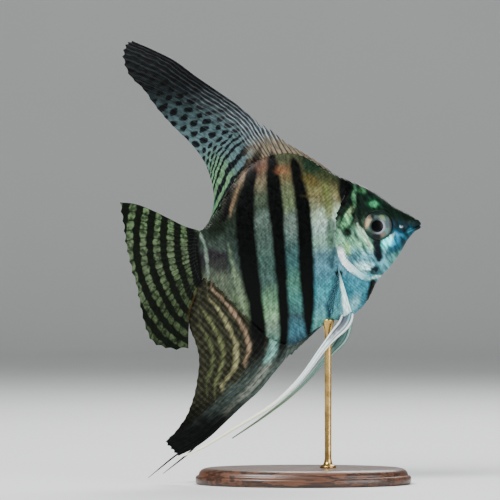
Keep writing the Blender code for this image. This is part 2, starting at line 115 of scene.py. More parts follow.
@dataclass(frozen=True)
class Curve:
    """A smooth run through a few points of the side view."""

    points: Points

    def at(self, share: Array | float) -> Array:
        """Finds places on the curve, spaced evenly by point number.

        Args:
            share: Shares from 0 at the first point to 1 at the last.

        Returns:
            An array whose last axis holds along and up.
        """
        knots = np.array(self.points, float)
        last = len(knots) - 1
        place = np.clip(np.asarray(share, float), 0, 1) * last
        index = np.minimum(place.astype(int), last - 1)
        u = (place - index)[..., None]
        knots = np.vstack([2 * knots[0] - knots[1], knots, 2 * knots[-1] - knots[-2]])
        p0, p1, p2, p3 = (knots[index + n] for n in range(4))
        bend = 2 * p0 - 5 * p1 + 4 * p2 - p3
        twist = 3 * p1 - p0 - 3 * p2 + p3
        return p1 + ((p2 - p0) * u + bend * u**2 + twist * u**3) / 2

    def height(self, along: Array | float) -> Array:
        """Reads the curve as a height over its first coordinate, level beyond its ends.

        Args:
            along: Where to read it.

        Returns:
            The heights.
        """
        x, value = np.array(self.points, float).T
        before = np.maximum(np.arange(len(x)) - 1, 0)
        after = np.minimum(np.arange(len(x)) + 1, len(x) - 1)
        slope = (value[after] - value[before]) / (x[after] - x[before])
        place = np.clip(np.asarray(along, float), x[0], x[-1])
        i = np.clip(np.searchsorted(x, place) - 1, 0, len(x) - 2)
        span = x[i + 1] - x[i]
        u = (place - x[i]) / span
        rise = value[i + 1] - value[i]
        m0, m1 = slope[i] * span, slope[i + 1] * span
        return value[i] + m0 * u + (3 * rise - 2 * m0 - m1) * u**2 + (m0 + m1 - 2 * rise) * u**3

    def distance(self, spots: Array) -> tuple[Array, Array]:
        """Measures how far places lie from the curve.

        Args:
            spots: Places in the side view, along and up on the last axis.

        Returns:
            The distances, positive to the left of the curve's direction, and each nearest place's
            share of the curve.
        """
        shares = np.linspace(0, 1, 40 * (len(self.points) - 1))
        knots = self.at(shares)
        flat = spots.reshape(-1, 2)
        nearest = np.empty(len(flat), int)
        for start in range(0, len(flat), 4000):
            block = flat[start : start + 4000, None] - knots[None]
            nearest[start : start + 4000] = (block**2).sum(-1).argmin(1)
        run = knots[np.minimum(nearest + 1, len(knots) - 1)] - knots[np.maximum(nearest - 1, 0)]
        offset = flat - knots[nearest]
        sign = np.sign(run[:, 0] * offset[:, 1] - run[:, 1] * offset[:, 0])
        length = np.linalg.norm(offset, axis=1) * sign
        return length.reshape(spots.shape[:-1]), shares[nearest].reshape(spots.shape[:-1])


@dataclass(frozen=True)
class FishFrame:
    """The fish's own frame and where it lies in the model's."""

    standard_length: float = 80.5 * MM
    nose_up: float = math.radians(4.5)
    tail_root: Triple = (-36.7 * MM, 0.0, 85.3 * MM)

    @property
    def unit(self) -> float:
        """A hundredth of the standard length, in metres."""
        return self.standard_length / 100

    @property
    def unit_mm(self) -> float:
        """The same in millimetres."""
        return self.unit / MM

    def place(self, along: Array | float, up: Array | float, out: Array | float = 0.0) -> Array:
        """Turns places of the fish's frame into places of the model.

        Args:
            along: Distances towards the snout.
            up: Distances towards the back.
            out: Distances from the middle plane, in millimetres.

        Returns:
            Points in metres, on the last axis.
        """
        forward, high = np.asarray(along) * self.unit, np.asarray(up) * self.unit
        cos, sin = math.cos(self.nose_up), math.sin(self.nose_up)
        x = self.tail_root[0] + forward * cos - high * sin
        z = self.tail_root[2] + forward * sin + high * cos
        return np.stack([x, np.zeros_like(x) + np.asarray(out) * MM, z], axis=-1)

    def apart(self, along: Array, up: Array, spot: tuple[float, float]) -> Array:
        """Measures how far places of the side view lie from a spot, in millimetres."""
        return np.hypot(along - spot[0], up - spot[1]) * self.unit_mm


# ---- meshes


def new_object(name: str, data: ID) -> Object:
    """Puts new data into the scene.

    Args:
        name: The object's name.
        data: Its mesh, light or camera.

    Returns:
        The linked object, at the origin.
    """
    made = bpy.data.objects.new(name, data)
    bpy.context.scene.collection.objects.link(made)
    return made


def grid_faces(rows: int, columns: int, wraps: bool, start: int = 0) -> list[tuple[int, ...]]:
    """Lists the quads of a grid of vertices.

    Args:
        rows: How many rows of vertices there are.
        columns: How many vertices a row holds.
        wraps: Whether the last column joins the first.
        start: The number of the first vertex.

    Returns:
        Four vertex numbers for each quad.
    """
    faces = []
    for i in range(rows - 1):
        a, b = start + i * columns, start + (i + 1) * columns
        for j in range(columns if wraps else columns - 1):
            k = (j + 1) % columns
            faces.append((a + j, b + j, b + k, a + k))
    return faces


def solid(name: str, vertices: Array, faces: Sequence[Sequence[int]]) -> Object:
    """Makes a smooth closed mesh at the origin, with its faces turned outwards.

    Args:
        name: The object's name.
        vertices: Its points in metres.
        faces: Vertex numbers of each face.

    Returns:
        The linked object.
    """
    mesh = bpy.data.meshes.new(name)
    mesh.from_pydata(vertices.reshape(-1, 3).tolist(), [], [tuple(f) for f in faces])
    mesh.validate()
    mesh.calc_loop_triangles()
    points = np.empty(len(mesh.vertices) * 3)
    mesh.vertices.foreach_get("co", points)
    corners = np.empty(len(mesh.loop_triangles) * 3, np.int32)
    mesh.loop_triangles.foreach_get("vertices", corners)
    a, b, c = np.moveaxis(points.reshape(-1, 3)[corners.reshape(-1, 3)], 1, 0)
    volume = np.einsum("ij,ij->i", a, np.cross(b, c)).sum()
    if volume < 0:
        mesh.flip_normals()
    mesh.shade_smooth()
    return new_object(name, mesh)


def tube(name: str, rings: Array, ends: Array) -> Object:
    """Makes a closed skin over rings of points.

    Args:
        name: The object's name.
        rings: Its points in metres, with rings, columns and coordinates as axes.
        ends: The point that closes the first ring, and the one that closes the last.

    Returns:
        The linked object, whose two closing points are its last vertices.
    """
    rows, columns = rings.shape[:2]
    faces = grid_faces(rows, columns, wraps=True)
    last = rows * columns
    for j in range(columns):
        k = (j + 1) % columns
        faces.append((last, j, k))
        faces.append((last + 1, last - columns + k, last - columns + j))
    return solid(name, np.concatenate([rings.reshape(-1, 3), ends]), faces)


def sheet(name: str, right: Array, left: Array, values: dict[str, Array]) -> Object:
    """Makes a closed thin sheet from two grids of points.

    Args:
        name: The object's name.
        right: The right face's grid, in metres.
        left: The left face's grid.
        values: Attributes, each with one number for each vertex of a grid.

    Returns:
        The linked object.
    """
    rows, columns = right.shape[:2]
    count = rows * columns
    faces = grid_faces(rows, columns, wraps=False)
    faces += [tuple(reversed(face)) for face in grid_faces(rows, columns, wraps=False, start=count)]
    rim = [(i, 0) for i in range(rows)] + [(rows - 1, j) for j in range(1, columns)]
    rim += [(i, columns - 1) for i in range(rows - 2, -1, -1)] + [(0, j) for j in range(columns - 2, 0, -1)]
    for (i, j), (k, m) in zip(rim, rim[1:] + rim[:1]):
        a, b = i * columns + j, k * columns + m
        faces.append((b, a, a + count, b + count))
    made = solid(name, np.concatenate([right.reshape(-1, 3), left.reshape(-1, 3)]), faces)
    for key, value in values.items():
        tag(made.data, key, np.tile(value.ravel(), 2))
    return made


def tag(mesh: Mesh, name: str, values: Array) -> None:
    """Stores one number or vector for each vertex.

    Args:
        mesh: The mesh to mark.
        name: The attribute's name.
        values: One row, or one number, for each vertex.
    """
    kind, key = ("FLOAT_VECTOR", "vector") if values.ndim == 2 else ("FLOAT", "value")
    made = mesh.attributes.new(name, kind, "POINT")
    made.data.foreach_set(key, np.ascontiguousarray(values, np.float32).ravel())


def join(name: str, parts: Sequence[Object]) -> Object:
    """Joins objects into the first of them.

    Args:
        name: The name of the result.
        parts: The objects to join.

    Returns:
        The joined object.
    """
    with bpy.context.temp_override(active_object=parts[0], selected_editable_objects=list(parts)):
        bpy.ops.object.join()
    parts[0].name = name
    return parts[0]


def hand_over(piece: Object, finish: Material | None, slot: str, *nodes: str) -> Object:
    """Dresses a piece and fixes it to the frame.

    Args:
        piece: The piece.
        finish: Its material, unless it has one.
        slot: The material slot that it belongs to; it is not used.
        *nodes: The frame's nodes that it stands for.

    Returns:
        The same piece.
    """
    if finish:
        piece.data.materials.append(finish)
    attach(piece, BODY)
    if nodes:
        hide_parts(*nodes)
    LOG.info("%s: %d faces, for %s", piece.name, len(piece.data.polygons), ", ".join(nodes) or "itself")
    return piece


# ---- shader nodes


def colour(code: str) -> Colour:
    """Turns a screen colour such as "6c837e" into linear light, with full alpha."""
    values = [int(code[n : n + 2], 16) / 255 for n in (0, 2, 4)]
    return (*(v / 12.92 if v <= 0.04045 else ((v + 0.055) / 1.055) ** 2.4 for v in values), 1.0)


class Value:
    """What a node puts out. Sums that are written with it add the nodes that work them out."""

    def __init__(self, pen: "Pen", socket: NodeSocket) -> None:
        """Holds an output socket of the pen's tree."""
        self.pen = pen
        self.socket = socket

    def apply(self, operation: str, other: "Feed" = 0.0) -> "Value":
        """Puts the value through a Math node, with another where the operation takes two."""
        return self.pen.math(operation, self, other)

    __add__ = partialmethod(apply, "ADD")
    __sub__ = partialmethod(apply, "SUBTRACT")
    __mul__ = partialmethod(apply, "MULTIPLY")
    __truediv__ = partialmethod(apply, "DIVIDE")
    __abs__ = partialmethod(apply, "ABSOLUTE")

    def __rsub__(self, other: "Feed") -> "Value":
        """Takes the value from a number."""
        return self.pen.math("SUBTRACT", other, self)

    def share(self, start: float, stop: float) -> "Value":
        """Gives how far the value lies from start to stop, held between 0 and 1."""
        return self.pen.math("DIVIDE", self - start, stop - start, clamp=True)

    def ramp(self, start: float, stop: float, low: float = 0.0, high: float = 1.0) -> "Value":
        """Turns start..stop smoothly into low..high."""
        return self.pen.value(
            "ShaderNodeMapRange", {"interpolation_type": "SMOOTHSTEP"}, self, start, stop, low, high
        )

    def curve(self, points: Points, span: tuple[float, float], values: tuple[float, float]) -> "Value":
        """Reads a height from a smooth curve over the value.

        Args:
            points: The curve's points, in rising order.
            span: The lowest and highest place that it covers.
            values: The lowest and highest height that it holds.

        Returns:
            The height.
        """
        made = self.pen.node("ShaderNodeFloatCurve", Value=self.share(*span))
        line = made.mapping.curves[0]
        (start, stop), (low, high) = span, values
        reach = [(start, points[0][1]), *points, (stop, points[-1][1])]
        while len(line.points) < len(reach):
            line.points.new(0.5, 0.5)
        for knot, (place, height) in zip(line.points, reach):
            knot.location = ((place - start) / (stop - start), (height - low) / (high - low))
            knot.handle_type = "AUTO_CLAMPED"
        made.mapping.update()
        return Value(self.pen, made.outputs[0]) * (high - low) + low

    def paint(self, share: "Feed", ink: "Value | str") -> "Value":
        """Lays another colour over this one."""
        return self.pen.mix(share, self, ink)

    def shaded(self, shade: "Value") -> "Value":
        """Multiplies the colour by a shade of grey."""
        grey = self.pen.value("ShaderNodeCombineColor", Red=shade, Green=shade, Blue=shade)
        return self.pen.mix(1.0, self, grey, "MULTIPLY")


Feed = Value | float | str | tuple[float, ...]
Settings = dict[str, object] | None


class Pen:
    """Draws the nodes of one tree, with short calls for what the finishes use most."""

    def __init__(self, tree: NodeTree, sink: Node) -> None:
        """Starts on a tree whose results go into the node called sink."""
        self.tree = tree
        self.sink = sink

    def feed(self, node: Node, inputs: dict[int | str, Feed]) -> None:
        """Links values to a node's inputs, or sets the inputs' own.

        Args:
            node: The node.
            inputs: Values by the inputs' numbers, or by their names with _ for a space.
        """
        for name, value in inputs.items():
            socket = node.inputs[name.replace("_", " ") if isinstance(name, str) else name]
            if isinstance(value, Value):
                self.tree.links.new(value.socket, socket)
            else:
                socket.default_value = value

    def give(self, **inputs: Feed) -> NodeTree:
        """Feeds the tree's results to its last node, and gives the tree."""
        self.feed(self.sink, inputs)
        return self.tree

    def node(self, kind: str, settings: Settings = None, *values: Feed, **inputs: Feed) -> Node:
        """Adds a node.

        Args:
            kind: Its type, such as "ShaderNodeMath".
            settings: Properties to set on it.
            *values: Values for its first inputs.
            **inputs: Values for its named inputs, with _ for a space.

        Returns:
            The new node.
        """
        made = self.tree.nodes.new(kind)
        for name, setting in (settings or {}).items():
            setattr(made, name, setting)
        self.feed(made, {**dict(enumerate(values)), **inputs})
        return made

    def value(
        self, kind: str, settings: Settings = None, *values: Feed, output: int | str = 0, **inputs: Feed
    ) -> Value:
        """Adds a node, as node does, and gives one of its outputs."""
        return Value(self, self.node(kind, settings, *values, **inputs).outputs[output])

    def math(self, operation: str, *values: Feed, clamp: bool = False) -> Value:
        """Adds a Math node."""
        return self.value("ShaderNodeMath", {"operation": operation, "use_clamp": clamp}, *values)

    def vector(self, operation: str, *values: Feed, output: str = "Vector", **inputs: Feed) -> Value:
        """Adds a Vector Math node."""
        return self.value("ShaderNodeVectorMath", {"operation": operation}, *values, output=output, **inputs)

    def mix(self, share: Feed, base: Value | str, ink: Value | str, blend: str = "MIX") -> Value:
        """Mixes two colours.

        Args:
            share: How much of the second to take.
            base: The first, as a value or a colour code.
            ink: The second.
            blend: How they mix.

        Returns:
            The mixed colour.
        """
        made = self.node("ShaderNodeMix", {"data_type": "RGBA", "blend_type": blend}, share)
        first, second = (colour(tone) if isinstance(tone, str) else tone for tone in (base, ink))
        self.feed(made, {6: first, 7: second})
        return Value(self, made.outputs[2])

    def place(self) -> Value:
        """Reads the surface's place in the object."""
        return self.value("ShaderNodeTexCoord", output="Object")

    def point(self, x: Feed, y: Feed) -> Value:
        """Makes a place from two numbers."""
        return self.value("ShaderNodeCombineXYZ", X=x, Y=y)

    def noise(self, place: Feed, scale: float, detail: float = 2.0, stretch: Triple | None = None) -> Value:
        """Reads a Noise Texture, on places that may be stretched first."""
        spots = self.value("ShaderNodeMapping", Vector=place, Scale=stretch) if stretch else place
        return self.value("ShaderNodeTexNoise", Vector=spots, Scale=scale, Detail=detail, output="Fac")

    def bump(self, height: Value, strength: float, depth: float) -> Value:
        """Turns a height into a bumpy normal."""
        return self.value("ShaderNodeBump", Strength=strength, Distance=depth, Height=height)

    def attribute(self, name: str, output: str = "Fac") -> Value:
        """Reads a value that the mesh carries."""
        return self.value("ShaderNodeAttribute", {"attribute_name": name}, output=output)

    def group(self, tree: NodeTree, **inputs: Feed) -> dict[str, Value]:
        """Places a node group and gives its outputs by name."""
        made = self.node("ShaderNodeGroup", {"node_tree": tree}, **inputs)
        return {socket.name: Value(self, socket) for socket in made.outputs}


def new_group(
    name: str, inputs: dict[str, float | str], outputs: dict[str, str], kind: str = "Shader"
) -> tuple[Pen, dict[str, Value]]:
    """Starts a node group.

    Args:
        name: The group's name.
        inputs: Its inputs, each with the usual value of a number or with its kind, such as "Object".
        outputs: Its outputs and their kinds, such as "Float" or "Color".
        kind: The kind of tree, "Shader" or "Geometry".

    Returns:
        A pen for the group's tree, and what the group is given, by name.
    """
    tree = bpy.data.node_groups.new(name, f"{kind}NodeTree")
    for socket, value in inputs.items():
        is_kind = isinstance(value, str)
        kind_word = value if is_kind else "Float"
        made = tree.interface.new_socket(socket, in_out="INPUT", socket_type=f"NodeSocket{kind_word}")
        if not is_kind:
            made.default_value = value
    for socket, kind_word in outputs.items():
        tree.interface.new_socket(socket, in_out="OUTPUT", socket_type=f"NodeSocket{kind_word}")
    given = tree.nodes.new("NodeGroupInput")
    pen = Pen(tree, tree.nodes.new("NodeGroupOutput"))
    return pen, {socket.name: Value(pen, socket) for socket in given.outputs if socket.name}


def new_material(name: str, **settings: float | tuple[float, ...]) -> tuple[Material, Pen]:
    """Starts a material with one Principled BSDF.

    Args:
        name: The material's name.
        **settings: Values of the shader's own sockets, with _ for a space.

    Returns:
        The material and a pen that feeds its shader.
    """
    made = bpy.data.materials.new(name)
    made.use_nodes = True
    pen = Pen(made.node_tree, made.node_tree.nodes["Principled BSDF"])
    pen.give(**settings)
    return made, pen


# ---- markings

BAR_UP = (-110, 110)  # heights that a bar's curves cover
BAR_MIDDLE = (-45, 110)  # and the values that they hold
BAR_HALF = (-4, 12)


@dataclass(frozen=True)
class Bar:
    """A marking that runs down the fish, given by its middle and half width at a few heights."""

    ink: str
    middle: Points  # up, along
    half: Points  # up, half width; below zero where the bar ends
    soft: float = 1.15
    share: float = 1.0

    def draw(self, along: Value, up: Value, wobble: Value) -> Value:
        """Works out how strongly the bar shows.

        Args:
            along: The surface's place along the fish.
            up: Its height.
            wobble: How far the edge strays.

        Returns:
            Strengths from 0 to the bar's share.
        """
        middle, half = up.curve(self.middle, BAR_UP, BAR_MIDDLE), up.curve(self.half, BAR_UP, BAR_HALF)
        edge = abs(along - middle) - half + wobble
        return edge.ramp(self.soft, -self.soft, 0.0, self.share)


@dataclass(frozen=True)
class Spot:
    """A marking with an oval outline."""

    ink: str
    at: tuple[float, float]
    size: tuple[float, float]
    turn: float = 0.0  # degrees, from along towards up
    soft: float = 0.35
    share: float = 1.0

    def draw(self, along: Value, up: Value, wobble: Value) -> Value:
        """Works out how strongly the spot shows.

        Args:
            along: The surface's place along the fish.
            up: Its height.
            wobble: How far the outline strays.

        Returns:
            Strengths from 0 to the spot's share.
        """
        place = along.pen.point(wobble * 1.8 + along, wobble * -1.4 + up)
        oval = along.pen.value(
            "ShaderNodeMapping", {"vector_type": "TEXTURE"}, Vector=place, Location=(*self.at, 0),
            Rotation=(0, 0, math.radians(self.turn)), Scale=(*self.size, 1),
        )
        reach = along.pen.vector("LENGTH", oval, output="Value")
        return reach.ramp(1 + self.soft, 1 - self.soft, 0.0, self.share)


BLACK = "020303"

FLANK_BARS: tuple[Bar, ...] = (
    Bar(  # the front bar
        BLACK,
        ((-41, 45), (-27, 45.8), (-5, 46.5), (10, 47), (20, 46.8), (29, 45.7), (37, 44.8), (46, 43.6)),
        ((-44, -1), (-41, 1.1), (-33, 2.2), (-27, 2.9), (-10, 3.6), (16, 3.6), (27, 2.9), (37, 2.5),
         (46, -1.5)),
    ),
    Bar(  # the middle bar
        BLACK,
        ((-56, 28.5), (-48.7, 31.6), (-37.6, 33.8), (-15, 34.5), (7, 34.5), (18, 34.6), (30, 34.3),
         (46, 34.6)),
        ((-58, -1), (-50, 1.4), (-37.6, 2.3), (-15, 2.6), (-9, 2.9), (7, 3.1), (18, 3.6), (30, 3.5),
         (38, 2.8), (54, -1)),
    ),
    Bar(  # the broad rear bar, which runs on into both fins
        BLACK,
        ((-72, 1), (-63.6, 10.9), (-58.6, 15.5), (-52, 19), (-45.6, 21.5), (-36.7, 22), (-25.5, 21.8),
         (-14, 20.6), (8, 19.8), (19.5, 20.3), (30.5, 23), (41.4, 27), (52, 30.5)),
        ((-76, -2), (-70, 1.5), (-63.6, 3.2), (-52, 3.3), (-45.6, 3.1), (-36.7, 3.7), (-25.5, 3.4),
         (-14, 4.3), (8, 4.5), (19.5, 4.3), (30.5, 3.1), (41.4, 2.3), (48, 0.4), (54, -1.5)),
    ),
    Bar(  # the band at the root of the tail fin
        BLACK,
        ((-14, -3.2), (-2, -4.2), (8, -4.4), (13, -5)),
        ((-17, -2), (-14, 1.6), (-2, 2.2), (13, 2), (17, -2)),
    ),
)

MARKS: tuple[Bar | Spot, ...] = (  # in the order of painting
    # the rear of the flank and the tail's stem
    Bar(  # the light band behind the rear bar
        "64765c",
        ((-36, 16.8), (-22.8, 15.6), (-16, 14.3), (-8, 13), (0.5, 11.9), (8, 11)),
        ((-44, -2), (-34, 0.2), (-22.8, 1.2), (-11.4, 1.1), (-5, 0.5), (3, 0), (8, -2)),
        share=0.85,
    ),
    Bar(
        BLACK, ((13, 10), (20, 11.9), (27, 13.6), (34, 16.6)),
        ((11, -1.5), (15, 1), (20, 1.6), (27, 1.6), (36, -1.5)),
    ),
    Bar(  # the light streak behind that short bar
        "6a5743",
        ((15, 13.2), (26.9, 16.9), (33.8, 20.4), (38, 22)),
        ((13, -1.5), (17, 0.4), (26.9, 0.7), (33.8, 0.8), (39, -1)),
        0.7, 0.85,
    ),
    Bar(
        "66766a", ((-11, 0.8), (-6, 0.9), (4, 0.5), (9.6, -1)),
        ((-13, -1), (-9, 0.7), (4, 0.6), (9, 0.5), (12, -1)), 0.6, 0.85,
    ),
    Spot("7a4f36", (38.6, 35.8), (3, 2), soft=0.7, share=0.5),
    Spot("5c4033", (28.8, 38.2), (3, 2.4), soft=0.7, share=0.5),
    Spot("4e4220", (51.5, 29.8), (3.8, 2.2), -35, 0.7, 0.7),
    Spot("2e2a18", (50.5, 22.4), (4.2, 0.8), -10, 0.6, 0.6),
    # behind the gill cover
    Bar(
        "4f5630", ((10, 58), (18, 58.6), (26, 58.4), (30, 57)),
        ((8, -1), (13, 1.6), (20, 2.6), (26, 2), (31, -1)), 1.4, 0.85,
    ),
    Bar("33493a", ((-3, 58.2), (4, 58.6), (12, 59)), ((-6, -1.5), (-1, 1.5), (8, 2), (15, -1)), 1.2, 0.85),
    # painted shadow: a darker band behind the lower part of the gill cover
    Bar(
        "28434a", ((-11, 57.8), (-6, 58.1), (-2, 60)),
        ((-13.5, -1.5), (-10, 1.4), (-5, 1.8), (1, -1)), 1.2, 0.9,
    ),
    Bar(  # the thin line behind the pectoral fin
        "0f2a36",
        ((-34, 55), (-31.7, 55.3), (-24.6, 56.9), (-19.4, 59), (-14, 60.6)),
        ((-37, -2), (-33, 1.1), (-24.6, 1.9), (-19, 1.4), (-15, 1), (-12, -2)),
        1.2, 1.0,
    ),
    # painted shadow in the armpit under the pectoral fin's root
    Spot("0b1a18", (60.8, -13.6), (1.7, 1.4), soft=0.4),
    Spot("86c4ca", (67, -28), (1.8, 4), -20, 0.8, 0.8),
    # the nape and brow
    Spot("08150f", (75.3, 18.4), (5.2, 8.6), -20, 0.3),
    Bar(
        BLACK, ((15, 65.8), (21, 66), (26, 66.8), (34, 69)),
        ((13, -1), (17, 0.8), (21, 2.3), (26, 3), (34, 3), (38, -2)),
    ),
    Spot("3d6648", (70.8, 21), (1.1, 4.6), -8, 0.6, 0.8),
    Spot("2f5a38", (74.6, 23.4), (1.8, 1.2), -30, 0.6, 0.7),
    Spot("1a4a30", (79.6, 17.2), (2.6, 2.2), -20, 1.0, 0.6),
    Spot("4ea873", (79.4, 16.9), (1.4, 1.1), -20, 0.9, 0.8),
    Spot("0a1a10", (81.2, 18.8), (2.4, 0.8), -38, 0.6, 0.7),
    # painted highlight: a pale speck on the nostril
    Spot("a8bcc0", (91.1, 5.5), (0.6, 0.55), soft=0.7),
    # the gill cover's upper corner
    Spot("101f15", (66.9, 11.4), (3.6, 6.6), -20, 0.28),
    Spot("68a878", (66.4, 10), (2, 3.4), -24, 0.55),
    Spot("7f9f72", (68.1, 13.8), (1.2, 2.6), -30, 0.6, 0.85),
    Spot("080f0a", (66.3, 4.6), (2.5, 2), 25, 0.55, 0.95),
    Spot("0a1611", (71.6, 9.6), (1.5, 5.6), 22, 0.55, 0.85),
    # the cheek
    Spot("8fc081", (65.2, -2.4), (1.6, 3), 12, 0.6, 0.75),
    Spot("1a302d", (76.3, 2.6), (1.3, 4.4), 16, 0.55, 0.9),
    Spot("203934", (70.2, 3.6), (0.7, 4.4), 24, 0.6, 0.6),
    Bar(
        "bfe0bf", ((-6, 77.2), (0, 75), (5, 72.7), (9, 71)),
        ((-8, -1), (-4, 0.5), (3, 0.7), (8, 0.5), (11, -1)), 0.6, 0.8,
    ),
    Spot("1f3a3c", (78.3, -6.6), (0.7, 3.2), 10, 0.6, 0.5),
    Spot("bcf2f2", (72.7, -11.7), (4, 2.1), -10, 0.6, 0.9),
    Spot("2a4a4c", (75.6, -14.4), (5.4, 0.9), -14, 0.5, 0.85),
    Spot("a4c8c2", (77.4, -17), (3.6, 0.7), 6, 0.5, 0.8),
    Spot("2a7c9c", (87.2, -0.2), (2.6, 4.2), -48, 0.6, 0.85),
    # the cheek's pale cyan patch, pushed past its own colour into a painted highlight
    Spot("5cffff", (84, -1.1), (1.7, 3.3), -52, 0.6),
    Spot("bfeef0", (86.6, 1.6), (0.9, 1.6), -50, 0.6, 0.9),
    Spot("15404e", (87, -4.4), (4, 1.4), 20, 0.5, 0.9),
    Spot("163c48", (91, -1.6), (1.8, 3.2), 30, 0.6, 0.7),
    Spot("00141e", (91.8, 3.8), (2.9, 1.5), 5, 0.6, 0.9),
    Spot("2c5c6c", (95, 3.6), (2.2, 0.8), 25, 0.6, 0.7),
    Spot("0a1516", (80.6, 2.2), (2.6, 1.5), -8, 0.4),
    Bar(  # the bar below the eye
        "030c14",
        ((-10, 79.9), (-6.3, 79.8), (-2, 79.5), (3, 79.6)),
        ((-12, -1.5), (-9.5, 1), (-6.3, 1.9), (-2, 1.9), (3, 2.2), (9, -2)),
        1.1,
    ),
    Spot("061722", (77.6, -13.4), (1.9, 2.2), -25, 0.5),
    Bar(  # its last part, along the front of the breast
        BLACK,
        ((-31, 73), (-25, 74.7), (-19, 76.4)),
        ((-32, -1), (-29, 0.6), (-26, 1.8), (-22, 2.2), (-18.5, 1.8), (-16.6, -1)),
    ),
)


@dataclass(frozen=True)
class Markings:
    """The shader groups that place and bar the fish, built once and used by every finish."""

    fish: FishFrame

    def frame_group(self) -> NodeTree:
        """Builds the group that gives a surface's place in the fish's frame.

        Returns:
            The group, with Along and Up as its outputs.
        """
        pen, _ = new_group("fish_frame", {}, {"Along": "Float", "Up": "Float"})
        offset = pen.vector("SUBTRACT", pen.place(), self.fish.tail_root)
        cos, sin = math.cos(self.fish.nose_up) / self.fish.unit, math.sin(self.fish.nose_up) / self.fish.unit
        along = pen.vector("DOT_PRODUCT", offset, (cos, 0, sin), output="Value")
        return pen.give(Along=along, Up=pen.vector("DOT_PRODUCT", offset, (-sin, 0, cos), output="Value"))

    def bar_group(self) -> NodeTree:
        """Builds the group that draws the black bars.

        Returns:
            The group, whose outputs are the bars' strength and the stray of their edges.
        """
        given_names = {"Along": 0.0, "Up": 0.0, "Wobble": 0.5}
        pen, given = new_group("black_bars", given_names, {"Black": "Float", "Wobble": "Float"})
        uneven = pen.noise(pen.place(), 520, 2.5) - 0.5 + (pen.noise(pen.place(), 160, 1.5) - 0.5)
        wobble = uneven * (given["Wobble"] * 2.6)
        black, *others = (bar.draw(given["Along"], given["Up"], wobble) for bar in FLANK_BARS)
        for bar in others:
            black = black.apply("MAXIMUM", bar)
        return pen.give(Black=black, Wobble=wobble)


